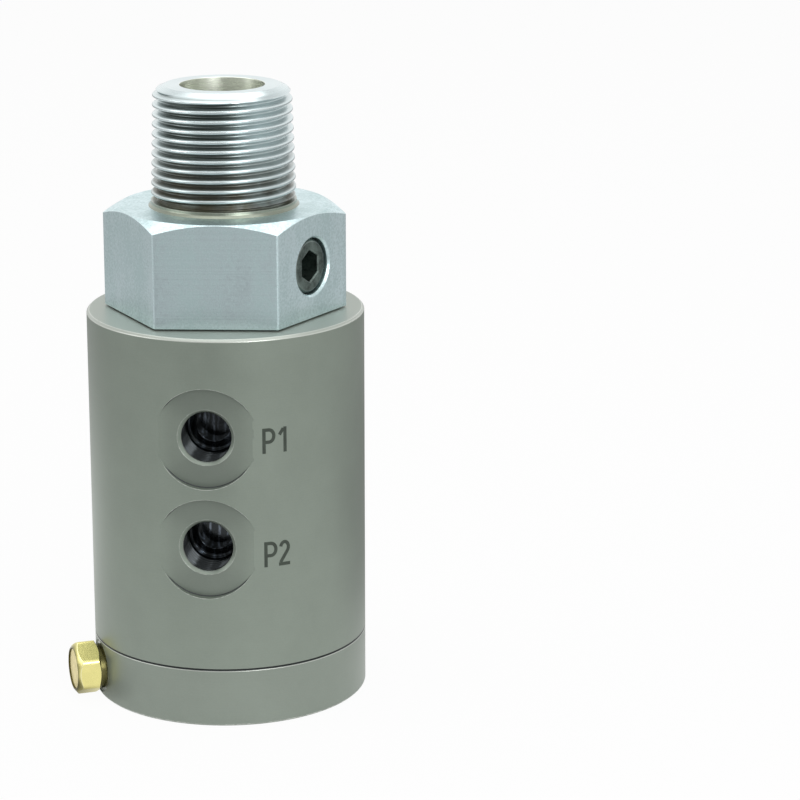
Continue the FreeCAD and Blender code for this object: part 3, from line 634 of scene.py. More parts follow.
@dataclass(frozen=True)
class HardAnodised:
    """Satin hard anodise on turned aluminium, with a fine matt grain.

    Attributes:
        name: Name of the finish.
        colour: Its colour.
        joint: Height of the joint of housing and cap, where a dark band of painted shade sits.
        oil_shade_radius: Distance from the main axis inside which the holes are dark with oil and painted
            shade.
        oil_shade_top: Height above which nothing gets that oil and painted shade.
        wear_and_highlight_colour: Colour of the worn edges with their painted highlights, and of the painted
            light on the top.
        painted_shade: Colour of the painted shade on the spot faces.
        roughness: Its mean roughness.
        metallic: How much of the metal shows through.
        mottle: Depth of the cloudy colour variation.
        oil_shade: Colour of the oily walls, dark as painted shade.
        painted_sheen: Colour of the painted sheen, light streaks on the floor of a hole.
        sheen_floor: Distance of that floor from the main axis.
        spot_plane: Distance of the spot faces from the main axis.
        spot_middle: Height of the middle between the spot faces.
        spot_spacing: Distance of each spot face's centre from there.
        spot_fade: Distance from the main axis at which their painted shade starts to fade.
        spot_end: Distance at which it has faded.
        spot_shade: How much painted shade darkens the spot faces.
        turned_shade: How much more painted shade they get above and below the hole, like the bow-tie
            reflection of turned marks.
        top_light_gain: How much painted light lightens the turned top.
    """

    name: str
    colour: Colour
    joint: float
    oil_shade_radius: float
    oil_shade_top: float
    wear_and_highlight_colour: Colour = (0.62, 0.65, 0.6)
    painted_shade: Colour = (0.014, 0.017, 0.019)
    roughness: float = 0.38
    metallic: float = 0.5
    mottle: float = 0.05
    oil_shade: Colour = (0.03, 0.033, 0.036)
    painted_sheen: Colour = (0.2, 0.235, 0.28)
    sheen_floor: float = 19.8
    spot_plane: float = 31.15
    spot_middle: float = 56.95
    spot_spacing: float = 13.25
    spot_fade: float = 31.9
    spot_end: float = 32.95
    spot_shade: float = 0.12
    turned_shade: float = 0.12
    top_light_gain: float = 0.32

    def material(self) -> bpy.types.Material:
        """Build the material."""
        material, graph = new_graph(self.name)
        across, deep, height = graph.coordinates()
        radius = (across * across + deep * deep) ** 0.5
        clouds = graph.noise(0.09, 3.0)
        grain = graph.noise(3.2, 2.0)
        rings = graph.line_noise(height, 5.0, 2.0)
        share = (clouds * 0.5 + grain * 0.3 + rings * 0.2).between(0.3, 0.7)
        low = scaled(self.colour, 1 - self.mottle)
        high = scaled(self.colour, 1 + self.mottle)
        tone = graph.mixed(share, low, high)
        # Edges are lightened as wear and painted highlight, in dashes except along the top edge, where the
        # line is whole.
        whole = height.between(self.oil_shade_top - 2.0, self.oil_shade_top - 1.0)
        dashes = graph.noise(0.9, 2.0).between(0.42, 0.6).joined(whole)
        wear_and_highlight = graph.wear_and_highlight() * (0.3 + dashes * 0.7)
        bright = graph.mixed(wear_and_highlight * 0.8, tone, self.wear_and_highlight_colour)
        # Holes and bores inside a radius from the main axis and below a height are darkened with oil and
        # painted shade.
        inside = 1 - radius.between(self.oil_shade_radius - 0.9, self.oil_shade_radius)
        oil_and_shade = inside * (1 - height.between(self.oil_shade_top - 1.0, self.oil_shade_top))
        # A dark band at the joint of housing and cap is painted shade for the gap between them; sides with a
        # negative edge weight are darkened as painted shade too.
        seam_shade = 1 - (height - self.joint).magnitude().between(0.14, 0.34)
        dark = oil_and_shade.joined(seam_shade).joined(graph.crease_shade())
        # The spot faces are mixed towards a dark colour as painted shade, more above and below each hole like
        # the bow-tie reflection of turned marks.
        flat = 1 - (deep + self.spot_plane).magnitude().between(0.02, 0.06)
        spot = flat * (1 - radius.between(self.spot_fade, self.spot_end))
        rise = (height - self.spot_middle).magnitude() - self.spot_spacing
        upright = rise.magnitude() / (across * across + rise * rise) ** 0.5
        turned = self.spot_shade + upright.between(0.45, 0.95) * self.turned_shade
        shaded = graph.mixed(spot * turned, bright, self.painted_shade)
        # Painted light: the turned top is mixed towards the pale edge colour as if lit from above.
        top_light = height.between(self.oil_shade_top + 0.9, self.oil_shade_top + 0.98)
        lit = graph.mixed(top_light * self.top_light_gain, shaded, self.wear_and_highlight_colour)
        # Painted sheen: light streaks on the dark floor of a hole stand in for reflections.
        streaks = graph.noise(1.1, 3.0, (1.0, 1.0, 0.2)).between(0.46, 0.74)
        inner = 1 - radius.between(self.sheen_floor, self.sheen_floor + 1.6)
        oil_shade = graph.mixed(streaks * (0.06 + inner * 0.94), self.oil_shade, self.painted_sheen)
        base = graph.mixed(dark * 0.97, lit, oil_shade)
        roughness = self.roughness + (clouds - 0.5) * 0.06 + (rings - 0.5) * 0.05 - wear_and_highlight * 0.1 - oil_and_shade * 0.25
        beads = graph.noise(0.8, 1.0).between(0.45, 0.75) * oil_and_shade * 0.7
        normal = graph.bump(grain * 0.65 + rings * 0.35 + beads, 0.008)
        graph.surface(
            {
                "Base Color": base,
                "Roughness": roughness,
                "Metallic": self.metallic + oil_and_shade * (1 - self.metallic),
                "Normal": normal,
            }
        )
        return material


@dataclass(frozen=True)
class ZincPlate:
    """Satin bluish zinc plate on milled and turned steel, slightly cloudy.

    Attributes:
        name: Name of the finish.
        colour: Its colour where it is bright.
        dull: Its colour where it is clouded.
        wear_and_highlight_colour: Colour of its edges, which are lightened as wear and painted highlight.
        roughness: Its mean roughness.
        waves: Number of light upright bands round the piece.
        wave_azimuth: Azimuth of one of them in degrees.
        wave_gain: How much they add to the share of the bright colour.
        wave_fade: Height above which they fade.
        wave_end: Height at which nearly nothing of them is left.
    """

    name: str
    colour: Colour
    dull: Colour
    wear_and_highlight_colour: Colour = (0.92, 0.96, 0.96)
    roughness: float = 0.38
    waves: int = 9
    wave_azimuth: float = 17.3
    wave_gain: float = 0.2
    wave_fade: float = 104.0
    wave_end: float = 119.0

    def material(self) -> bpy.types.Material:
        """Build the material."""
        material, graph = new_graph(self.name)
        across, deep, height = graph.coordinates()
        clouds = graph.noise(0.075, 3.0)
        blots = graph.noise(0.3, 4.0, (1.0, 1.0, 0.45))
        grain = graph.noise(1.6, 3.0)
        rubbed = graph.noise(2.2, 2.0, (0.35, 0.35, 1.6))
        radius = (across * across + deep * deep) ** 0.5
        turned = graph.line_noise(radius, 3.5, 2.0)
        milled = graph.line_noise(height, 3.0, 3.0)
        bands = graph.noise(0.13, 2.0, (1.0, 1.0, 0.15))
        cloudy = clouds * 0.22 + bands * 0.26 + blots * 0.22 + milled * 0.06
        spread = (cloudy + rubbed * 0.1 + grain * 0.5).between(0.56, 0.8)
        azimuth = graph.maths("ARCTAN2", across, 0 - deep) - math.radians(self.wave_azimuth)
        left = 1 - height.between(self.wave_fade, self.wave_end) * 0.9
        share = spread + graph.maths("COSINE", azimuth * self.waves) * left * self.wave_gain
        tone = graph.mixed(share, self.dull, self.colour)
        wear_and_highlight = graph.wear_and_highlight()
        # Rounded edges are lightened a little as wear and painted highlight.
        base = graph.mixed(wear_and_highlight * 0.15, tone, self.wear_and_highlight_colour)
        roughness = self.roughness + (0.5 - share) * 0.12 + (milled - 0.5) * 0.1 - wear_and_highlight * 0.1
        normal = graph.bump(grain * 0.35 + rubbed * 0.2 + turned * 0.2 + milled * 0.25, 0.015)
        graph.surface({"Base Color": base, "Roughness": roughness, "Metallic": 1.0, "Normal": normal})
        return material


@dataclass(frozen=True)
class CutThread:
    """Bright cut steel of the taper thread, with painted shade in its grooves, strongest on one side, and a
    brown stain near its foot.

    Attributes:
        name: Name of the finish.
        colour: Its colour on the crests.
        groove: Colour of the painted shade in the grooves.
        stain: The brown of the stain.
        collar: Yellow-green of the collar under the thread.
        bore: Colour of the bore, an olive-grey steel made lighter than the crests as painted light in the
            recess.
        foot: Height of the foot of the thread.
        foot_radius: Crest radius at the foot.
        taper: Loss of radius for each unit of height.
        depth: Depth of the grooves.
        tip: Height of the flat end.
        stain_height: Height above the foot at which the stain ends.
        shade_azimuth: Azimuth at which the painted shade in the grooves is strongest.
        outer_share: Share of the foot's radius beyond which the surface is the outer one.
        bore_share: Share of the foot's radius within which the surface is the bore's.
        roughness: Roughness of the clean crests.
        anisotropy: How far highlights are drawn out across the turned marks.
    """

    name: str
    colour: Colour
    groove: Colour
    stain: Colour
    collar: Colour
    bore: Colour
    foot: float
    foot_radius: float
    taper: float
    depth: float
    tip: float
    stain_height: float = 17.0
    shade_azimuth: float = -16.0
    outer_share: float = 0.8
    bore_share: float = 0.586
    roughness: float = 0.27
    anisotropy: float = 0.6

    def material(self) -> bpy.types.Material:
        """Build the material."""
        material, graph = new_graph(self.name)
        across, deep, height = graph.coordinates()
        radius = (across * across + deep * deep) ** 0.5
        rise = height - self.foot
        crest = self.foot_radius - rise * self.taper
        sunk = ((crest - radius) / self.depth).between(0.06, 0.5)
        part = radius / self.foot_radius
        outside = part.between(self.outer_share, self.outer_share + 0.05)
        threaded = outside * (1 - height.between(self.tip - 1.6, self.tip - 0.6))
        patches = graph.noise(0.16, 3.0)
        fine = graph.noise(2.2, 3.0)
        lines = graph.line_noise(height, 9.0, 2.0)
        # Painted shade: the grooves are darkened, most on the side that faces one azimuth.
        angle = math.radians(self.shade_azimuth)
        facing = (across * math.sin(angle) - deep * math.cos(angle)) / radius
        ridges = graph.line_noise(height, 3.2).between(0.36, 0.64)
        uneven = 0.5 + fine * 0.25 + ridges * 0.4
        painted_shade = sunk * threaded * uneven * (0.16 + facing.between(0.55, 0.93) * 0.84)
        low = 1 - rise.between(0.0, self.stain_height)
        browned = (low * threaded * (patches.between(0.3, 0.62) * 0.5 + 0.5)) * (0.25 + sunk * 0.75)
        tone = graph.mixed(painted_shade, self.colour, self.groove)
        stained = graph.mixed(browned * 0.92, tone, self.stain)
        band = outside * (1 - rise.between(-0.1, 0.15)) * (0.75 + fine * 0.25)
        edged = graph.mixed(band * 0.88, stained, self.collar)
        # The bore gets a lighter colour than the outside as painted light in the recess.
        hollow = 1 - part.between(self.bore_share, self.bore_share + 0.004)
        base = graph.mixed(hollow, edged, self.bore)
        roughness = self.roughness + painted_shade * 0.15 + browned * 0.15 + (lines - 0.5) * 0.1
        normal = graph.bump(lines * 0.6 + fine * 0.4, 0.004)
        graph.surface(
            {
                "Base Color": base,
                "Roughness": roughness,
                "Metallic": 1.0,
                "Normal": normal,
                "Anisotropic": self.anisotropy,
                "Anisotropic Rotation": QUARTER_TURN,
            }
        )
        return material


@dataclass(frozen=True)
class BareMetal:
    """Machined or polished metal with fine marks.

    Attributes:
        name: Name of the finish.
        colour: Its colour.
        roughness: Its mean roughness.
        variation: Depth of its colour variation.
        grain: Number of features in a millimetre.
        relief: Depth of its marks in millimetres.
        wear_and_highlight_colour: Colour of its worn edges with their painted highlights.
    """

    name: str
    colour: Colour
    roughness: float = 0.25
    variation: float = 0.1
    grain: float = 1.5
    relief: float = 0.006
    wear_and_highlight_colour: Colour = (0.9, 0.9, 0.88)

    def material(self) -> bpy.types.Material:
        """Build the material."""
        material, graph = new_graph(self.name)
        clouds = graph.noise(self.grain * 0.15, 3.0)
        fine = graph.noise(self.grain, 3.0)
        tone = graph.mixed(
            (clouds * 0.7 + fine * 0.3).between(0.3, 0.7),
            scaled(self.colour, 1 - self.variation),
            scaled(self.colour, 1 + self.variation),
        )
        # Rounded edges are lightened as wear and painted highlight; sides with a negative edge weight are
        # darkened as painted shade.
        bright = graph.mixed(graph.wear_and_highlight() * 0.35, tone, self.wear_and_highlight_colour)
        base = graph.mixed(graph.crease_shade(), bright, scaled(self.colour, 0.12))
        roughness = self.roughness + (fine - 0.5) * 0.12
        normal = graph.bump(fine, self.relief)
        graph.surface({"Base Color": base, "Roughness": roughness, "Metallic": 1.0, "Normal": normal})
        return material


@dataclass(frozen=True)
class Moulded:
    """Rubber, plastic, oxide or ink: a dull surface with a fine grain.

    Attributes:
        name: Name of the finish.
        colour: Its colour.
        roughness: Its mean roughness.
        grain: Number of features in a millimetre.
        relief: Depth of its grain in millimetres.
        metallic: How much of a metal shows through.
    """

    name: str
    colour: Colour
    roughness: float = 0.55
    grain: float = 4.0
    relief: float = 0.008
    metallic: float = 0.0

    def material(self) -> bpy.types.Material:
        """Build the material."""
        material, graph = new_graph(self.name)
        fine = graph.noise(self.grain, 3.0)
        clouds = graph.noise(self.grain * 0.12, 2.0)
        tone = graph.mixed(clouds.between(0.3, 0.7), scaled(self.colour, 0.85), scaled(self.colour, 1.2))
        # Rounded edges are lightened as wear and painted highlight.
        base = graph.mixed(graph.wear_and_highlight() * 0.5, tone, scaled(self.colour, 3.0))
        graph.surface(
            {
                "Base Color": base,
                "Roughness": self.roughness + (fine - 0.5) * 0.15,
                "Metallic": self.metallic,
                "Normal": graph.bump(fine, self.relief),
            }
        )
        return material


@dataclass(frozen=True)
class ThreadForm:
    """Section of a thread with flat, rounded crests and roots.

    Attributes:
        pitch: Distance between turns.
        depth: Depth of the grooves.
        crest: Share of the pitch that is crest.
        root: Share of the pitch that is root.
        rounding: Length that a rounding takes of each side.
    """

    pitch: float
    depth: float
    crest: float
    root: float
    rounding: float

    def turn_outline(self) -> list[OutlinePoint]:
        """One turn from root to root, as rise, depth under the crest and edge weight."""
        half_root = self.root / 2 * self.pitch
        half_crest = self.crest / 2 * self.pitch
        middle = self.pitch / 2
        root_rounding = min(self.rounding, half_root * 0.9)
        crest_rounding = min(self.rounding, half_crest * 0.9)
        corners = [
            (0.0, self.depth),
            (half_root, self.depth, root_rounding),
            (middle - half_crest, 0.0, crest_rounding),
            (middle, 0.0),
            (middle + half_crest, 0.0, crest_rounding),
            (self.pitch - half_root, self.depth, root_rounding),
            (self.pitch, self.depth),
        ]
        return rounded(corners, steps=3)[:-1]

    def columns(
        self, axis: Axis, start: float, end: float, limit: Callable[[float, float], float], segments: int
    ) -> list[Column]:
        """Columns of a right-hand thread between two ends, the last one on the place of the first.

        Args:
            axis: Axis of the thread.
            start: Distance along the axis at which it starts.
            end: Distance along the axis at which it ends.
            limit: Gives the radius for a distance along and a depth under the crest.
            segments: Number of columns in a turn.

        Returns:
            The columns.
        """
        outline = self.turn_outline()
        turns = math.ceil((end - start) / self.pitch) + 2
        columns = []
        for index in range(segments + 1):
            turn = TURN * index / segments
            lead = self.pitch * (index / segments - 1.5)
            column: Column = [(axis.at(start, limit(start, self.depth), turn), 0.0)]
            for number in range(turns):
                for rise, depth, edge in outline:
                    along = min(max(start + lead + number * self.pitch + rise, start), end)
                    depth = self.depth if along == start else depth
                    column.append((axis.at(along, limit(along, depth), turn), edge * 0.5))
            column.append((axis.at(end, limit(end, self.depth), turn), 0.0))
            columns.append(column)
        return columns


PORT_THREAD = ThreadForm(pitch=1.337, depth=0.66, crest=0.24, root=0.16, rounding=0.06)
NOSE_THREAD = ThreadForm(pitch=2.309, depth=1.42, crest=0.22, root=0.1, rounding=0.24)


@dataclass
class Port:
    """A side port: spot face, countersunk threaded hole and drilling.

    Attributes:
        centre: Point of the port's axis in its hole.
        radius: Wall radius of the threaded hole.
        spot_radius: Radius of the spot face.
        spot_plane: Distance of the spot face from the main axis.
        spot_reach: Half width at which the spot face runs out of the round wall.
        mouth: Countersink of the hole.
        depth: Depth of the hole below the spot face.
        drilling: Radius of the drilling behind it.
        drilling_end: Distance from the main axis at which the drilling ends.
        rim: Length of the rounding at the rim of the spot face.
        rim_edge_weight: Edge weight of that rounding, which lightens the rim as wear and painted highlight
            and darkens the corner at the spot face's floor as painted shade.
        floor_rim: Length of the rounding at its floor.
        lead_in: Plain length of the hole between its countersink and the thread.
        run_out: Plain length of the hole between the thread and its floor.
    """

    centre: Vector
    radius: float
    spot_radius: float = 12.0
    spot_plane: float = 31.15
    spot_reach: float = 10.89
    mouth: float = 0.8
    depth: float = 11.5
    drilling: float = 4.0
    drilling_end: float = 17.3
    rim: float = 0.14
    rim_edge_weight: float = 0.95
    floor_rim: float = 0.3
    lead_in: float = 0.3
    run_out: float = 1.2

    def rim_radius(self, turn: float) -> float:
        """Radius of the rim of the spot face in one direction, in radians from +X."""
        return min(self.spot_radius, self.spot_reach / max(abs(math.cos(turn)), 1e-6))

    def outer_radius(self, turn: float) -> float:
        """Radius at which the round wall starts outside that rim."""
        return self.rim_radius(turn) + 3 * self.rim

    def wall(self, turn: float, surface: Callable[[float], float]) -> list[OutlinePoint]:
        """Section from the housing's surface over the rim to the hole's mouth, for one direction.

        Args:
            turn: Direction from the port's axis, in radians from +X.
            surface: Distance of the housing's surface from the middle plane, by x.

        Returns:
            Points of distance, radius and edge weight.
        """
        reach = self.rim_radius(turn)
        edge_distance = max(surface(reach * math.cos(turn)), self.spot_plane + 0.001)
        height = edge_distance - self.spot_plane
        outer = self.outer_radius(turn)
        rim = rounded([
            (surface(outer * math.cos(turn)), outer),
            (edge_distance, reach, min(self.rim, height * 0.4)),
            (self.spot_plane, reach, min(self.floor_rim, height * 0.5)),
            (self.spot_plane, (reach + self.radius + self.mouth) / 2),
        ])
        # The half of the rim towards the spot face's floor gets painted shade, the outer half wear and
        # painted highlight.
        half = len(rim) // 2
        rim = [(along, radius, edge if i < half else -edge) for i, (along, radius, edge) in enumerate(rim)]
        rim_weight = self.rim_edge_weight * smoothstep(0.1, 0.7, height)
        mouth = rounded([
            (self.spot_plane, self.radius + self.mouth + 0.3),
            (self.spot_plane, self.radius + self.mouth, 0.06),
            (self.spot_plane - self.mouth, self.radius, 0.1),
            (self.spot_plane - self.mouth - self.lead_in, self.radius),
        ])
        return [(along, radius, edge * rim_weight) for along, radius, edge in rim] + mouth

    def bottom(self) -> list[OutlinePoint]:
        """Section from the end of the thread to the blind end of the drilling."""
        floor = self.spot_plane - self.depth
        return rounded([
            (floor + self.run_out, self.radius),
            (floor, self.radius, 0.1),
            (floor, self.drilling, 0.1),
            (self.drilling_end, self.drilling),
            (self.drilling_end, 0.0),
        ])


@dataclass
class Housing:
    """Fixed housing: outer wall with two side ports, stepped bore and the port marks.

    Attributes:
        rim_chamfer: Chamfer round the top.
        joint_chamfer: Chamfer at the joint with the cap.
        window_steps: Number of columns and rows in the window round a port.
        far_columns: Number of columns in the rest of the wall.
        bore: Radius of the sealing bore.
        top_seat: Radius of the upper bearing's seat.
        top_seat_depth: Depth of that seat.
        low_seat: Radius of the lower bearing's seat.
        low_seat_depth: Depth of that seat.
        chamfer_reach: Distance from a chamfered end at which the plain wall starts, in chamfers.
        groove_side_gap: Room between a slip ring and each side of its groove.
        groove_floor_gap: Room between an energiser and the floor of its groove.
        ports: The side ports, the lower one first.
    """

    rim_chamfer: float = 0.55
    joint_chamfer: float = 0.3
    window_steps: int = 32
    far_columns: int = 168
    bore: float = 15.1
    top_seat: float = 21.0
    top_seat_depth: float = 12.0
    low_seat: float = 18.5
    low_seat_depth: float = 14.0
    chamfer_reach: float = 1.6
    groove_side_gap: float = 0.1
    groove_floor_gap: float = 0.02
    ports: list[Port] = field(default_factory=list)

    def __post_init__(self) -> None:
        """Take the outer sizes and the ports from the frame."""
        low, high = box_mm("housing")
        self.bottom = low.z
        self.top = high.z
        self.radius = high.x
        for name in ("port_p2", "port_p1"):
            centre, radius, _ = mount_mm(name)
            self.ports.append(Port(centre, radius))
        self.half_window = (self.ports[1].centre.z - self.ports[0].centre.z) / 2

    def surface(self, across: float) -> float:
        """Distance of the outer wall from the XZ plane at an x."""
        return math.sqrt(self.radius ** 2 - across ** 2)

    def on_wall(self, along: float, height: float) -> Vector:
        """Point of the outer wall by its arc length from azimuth 0 and its height."""
        return Axis.main().at(height, self.radius, along / self.radius)

    def wall_lengths(self) -> list[float]:
        """Arc lengths of the wall's columns, the window's first."""
        steps = self.window_steps
        half = self.half_window
        around = TURN * self.radius - 2 * half
        near = [-half + 2 * half * i / steps for i in range(steps + 1)]
        return near + [half + around * i / self.far_columns for i in range(1, self.far_columns)]

    def wall_levels(self) -> list[float]:
        """Heights of the wall's rows."""
        levels = [self.bottom + self.joint_chamfer * self.chamfer_reach]
        for port in self.ports:
            base = port.centre.z - self.half_window
            levels += [base + 2 * self.half_window * i / self.window_steps for i in range(self.window_steps)]
        levels.append(self.ports[-1].centre.z + self.half_window)
        levels.append(self.top - self.rim_chamfer * self.chamfer_reach)
        return levels

    def add_window(self, skin: Skin, first: int, port: Port) -> None:
        """Fill the window round one port: the wall up to the rim, the spot face and the hole.

        Args:
            skin: The mesh.
            first: First row of the window.
            port: The port.
        """
        steps = self.window_steps
        frame_loop = [(first, i) for i in range(steps)]
        frame_loop += [(first + i, steps) for i in range(steps)]
        frame_loop += [(first + steps, steps - i) for i in range(steps)]
        frame_loop += [(first + steps - i, 0) for i in range(steps)]
        lengths = self.wall_lengths()
        levels = self.wall_levels()
        centre = port.centre.z
        columns = []
        for row, index in frame_loop:
            along = lengths[index]
            rise = levels[row] - centre
            turn = math.atan2(rise, along)
            outer = port.outer_radius(turn)
            rim_along = self.radius * math.asin(outer * math.cos(turn) / self.radius)
            rim_rise = outer * math.sin(turn)
            column: Column = []
            for share in (0.0, 0.5):
                level = centre + rise * (1 - share) + rim_rise * share
                column.append((self.on_wall(along * (1 - share) + rim_along * share, level), 0.0))
            for distance, radius, edge in port.wall(turn, self.surface):
                place = Vector((radius * math.cos(turn), -distance, centre + radius * math.sin(turn)))
                column.append((place, edge))
            columns.append(column)
        skin.sweep(columns)
        self.add_hole(skin, port)

    def add_hole(self, skin: Skin, port: Port) -> None:
        """Add the threaded hole and its drilling.

        Args:
            skin: The mesh.
            port: The port.
        """
        start = port.spot_plane - port.depth + port.run_out
        end = port.spot_plane - port.mouth - port.lead_in
        axis = Axis(Vector((0, 0, port.centre.z)), Vector((0, -1, 0)), Vector((1, 0, 0)))
        segments = 96

        def wall(along: float, depth: float) -> float:
            """Radius of the thread, whose grooves run out at both ends."""
            fade = smoothstep(start, start + 1.0, along) * smoothstep(end, end - 0.5, along)
            return port.radius + (PORT_THREAD.depth - depth) * fade

        skin.sweep(PORT_THREAD.columns(axis, start, end, wall, segments), loop=False)
        skin.turned(axis, port.bottom(), segments)

    def bore_outline(self) -> list[OutlinePoint]:
        """Section from the top of the wall through the bore to its foot."""
        rim = self.rim_chamfer
        joint = self.joint_chamfer
        top_seat_level = self.top - self.top_seat_depth
        low_seat_level = self.bottom + self.low_seat_depth
        grooves = []
        for name in ("top", "middle", "bottom"):
            low, high = box_mm(f"slip_ring_{name}")
            _, outer = box_mm(f"energiser_{name}")
            side = self.groove_side_gap
            grooves.append((high.z + side, low.z - side, outer.x + self.groove_floor_gap))
        corners: list[Corner] = [
            (self.top - rim * self.chamfer_reach, self.radius),
            # The rim's chamfer is lightened as wear and painted highlight.
            (self.top - rim, self.radius, 0.2, 0.62),
            (self.top, self.radius - rim, 0.18),
            (self.top, self.top_seat + 0.5, 0.1),
            (self.top - 0.5, self.top_seat),
            (top_seat_level, self.top_seat),
            (top_seat_level, self.bore),
        ]
        for high, low, outer in grooves:
            corners += [(high, self.bore), (high, outer), (low, outer), (low, self.bore)]
        corners += [
            (low_seat_level, self.bore),
            (low_seat_level, self.low_seat),
            (self.bottom, self.low_seat),
            (self.bottom, self.radius - joint),
            (self.bottom + joint, self.radius),
            (self.bottom + joint * self.chamfer_reach, self.radius),
        ]
        return rounded(corners)

    def mesh(self) -> bpy.types.Mesh:
        """Build the housing's mesh."""
        skin = Skin()
        lengths = self.wall_lengths()
        levels = self.wall_levels()
        steps = self.window_steps
        window_rows = range(1, 1 + 2 * steps)

        def wall_point(row: int, index: int) -> bmesh.types.BMVert | None:
            """Vertex of the wall's grid, or None strictly inside a window."""
            inside_row = row in window_rows and (row - 1) % steps != 0
            if inside_row and 0 < index < steps:
                return None
            return skin.point(self.on_wall(lengths[index], levels[row]))

        grid = [[wall_point(row, index) for index in range(len(lengths))] for row in range(len(levels))]
        count = len(lengths)
        for row in range(len(levels) - 1):
            for index in range(count):
                if row in window_rows and index < steps:
                    continue
                after = (index + 1) % count
                skin.face(grid[row][index], grid[row][after], grid[row + 1][after], grid[row + 1][index])
        for number, port in enumerate(self.ports):
            self.add_window(skin, 1 + number * steps, port)
        outline = self.bore_outline()
        main = Axis.main()
        columns = [
            [(main.at(level, radius, along / self.radius), edge) for level, radius, edge in outline]
            for along in lengths
        ]
        skin.sweep(columns)
        return skin.to_mesh("housing_shell")

    def build(self, finish: bpy.types.Material, ink: bpy.types.Material) -> None:
        """Add the housing and its port marks to the scene.

        Args:
            finish: The housing's material.
            ink: The material of the marks.
        """
        add_piece("housing_shell", self.mesh(), finish, Body.STATOR, ["housing"])
        marks = [
            PortMark("P1", azimuth=23.25, base=66.5, width=5.98, height=6.05),
            PortMark("P2", azimuth=23.5, base=38.95, width=6.42, height=6.15),
        ]
        for mark in marks:
            name = f"port_mark_{mark.text.lower()}"
            add_piece(name, mark.mesh(self.radius), ink, Body.STATOR)


@dataclass
class PortMark:
    """Plain letters that number a port, as flat strokes on the wall.

    Attributes:
        text: The letters.
        azimuth: Azimuth of their left end.
        base: Height of their foot.
        width: Length of the whole text along the wall.
        height: Height of the letters.
        stroke: Width of the strokes.
        lift: Height of the strokes' face over the wall.
        sink: Depth of the strokes' back under the wall.
        spacing: Distance between the points of a stroke.
    """

    text: str
    azimuth: float
    base: float
    width: float
    height: float
    stroke: float = 0.82
    lift: float = 0.014
    sink: float = 0.05
    spacing: float = 0.25

    @staticmethod
    def arc(centre: Corner, reach: Corner, start: float, end: float, steps: int = 14) -> list[Corner]:
        """Points of an elliptic arc in the letters' unit box.

        Args:
            centre: Centre of the ellipse.
            reach: Its half axes.
            start: Angle of the first point in degrees.
            end: Angle of the last point in degrees.
            steps: Number of steps.

        Returns:
            The points.
        """
        angles = [math.radians(start + (end - start) * step / steps) for step in range(steps + 1)]
        return [(centre[0] + reach[0] * math.cos(a), centre[1] + reach[1] * math.sin(a)) for a in angles]

    def letter_width(self, letter: str) -> float:
        """Width of a letter in a box of height 1."""
        return {"P": 0.53, "1": 0.34, "2": 0.46}[letter]

    def strokes(self, letter: str) -> list[list[Corner]]:
        """Middle lines of a letter's strokes in a box of height 1.

        Args:
            letter: The letter.

        Returns:
            Lists of points.
        """
        half = self.stroke / self.height / 2
        top = 1 - half
        right = self.letter_width(letter) - half
        if letter == "P":
            bowl_x, bowl_y = 0.26, 0.69
            bowl = self.arc((bowl_x, bowl_y), (right - bowl_x, top - bowl_y), 90, -90)
            return [[(half, 0.0), (half, 1.0)], [(2 * half, top), *bowl, (2 * half, 2 * bowl_y - top)]]
        if letter == "1":
            return [[(right, 0.0), (right, 1.0)], [(right - half, 0.94), (0.04, 0.7)]]
        crown_x, crown_y = 0.235, 0.72
        crown = self.arc((crown_x, crown_y), (right - crown_x, top - crown_y), 170, -32)
        return [[*crown, (half, 2 * half)], [(0.0, half), (self.letter_width(letter), half)]]

    def resampled(self, line: Sequence[Vector]) -> list[Vector]:
        """A stroke's middle line with points close enough to follow the round wall.

        Args:
            line: Points of arc length and height.

        Returns:
            The closer points.
        """
        points = [line[0]]
        for before, after in zip(line, line[1:]):
            count = max(1, math.ceil((after - before).length / self.spacing))
            points += [before.lerp(after, step / count) for step in range(1, count + 1)]
        return points

    def mesh(self, radius: float) -> bpy.types.Mesh:
        """Build the strokes on a wall of that radius.

        Args:
            radius: Radius of the wall.

        Returns:
            The mesh.
        """
        skin = Skin()
        start = math.radians(self.azimuth) * radius
        last = self.width - self.letter_width(self.text[-1]) * self.height
        for number, letter in enumerate(self.text):
            left = start + number * last
            for line in self.strokes(letter):
                path = [Vector((left + x * self.height, self.base + y * self.height)) for x, y in line]
                self.add_ribbon(skin, radius, self.resampled(path))
        return skin.to_mesh("port_mark")

    def add_ribbon(self, skin: Skin, radius: float, path: Sequence[Vector]) -> None:
        """Lay one stroke on the wall as a thin closed strip.

        Args:
            skin: The mesh.
            radius: Radius of the wall.
            path: Points of arc length and height.
        """
        main = Axis.main()
        section = [(1, -self.sink), (1, self.lift), (0, self.lift), (-1, self.lift), (-1, -self.sink)]
        columns = []
        for index, here in enumerate(path):
            way = (path[min(index + 1, len(path) - 1)] - path[max(index - 1, 0)]).normalized()
            side = Vector((-way.y, way.x)) * (self.stroke / 2)
            column: Column = []
            for share, level in section:
                spot = here + side * share
                column.append((main.at(spot.y, radius + level, spot.x / radius), 0.0))
            columns.append(column)
        skin.sweep(columns, loop=False, closed=True)
        for column in (columns[0], columns[-1]):
            skin.face(*[skin.point(place) for place, _ in column])


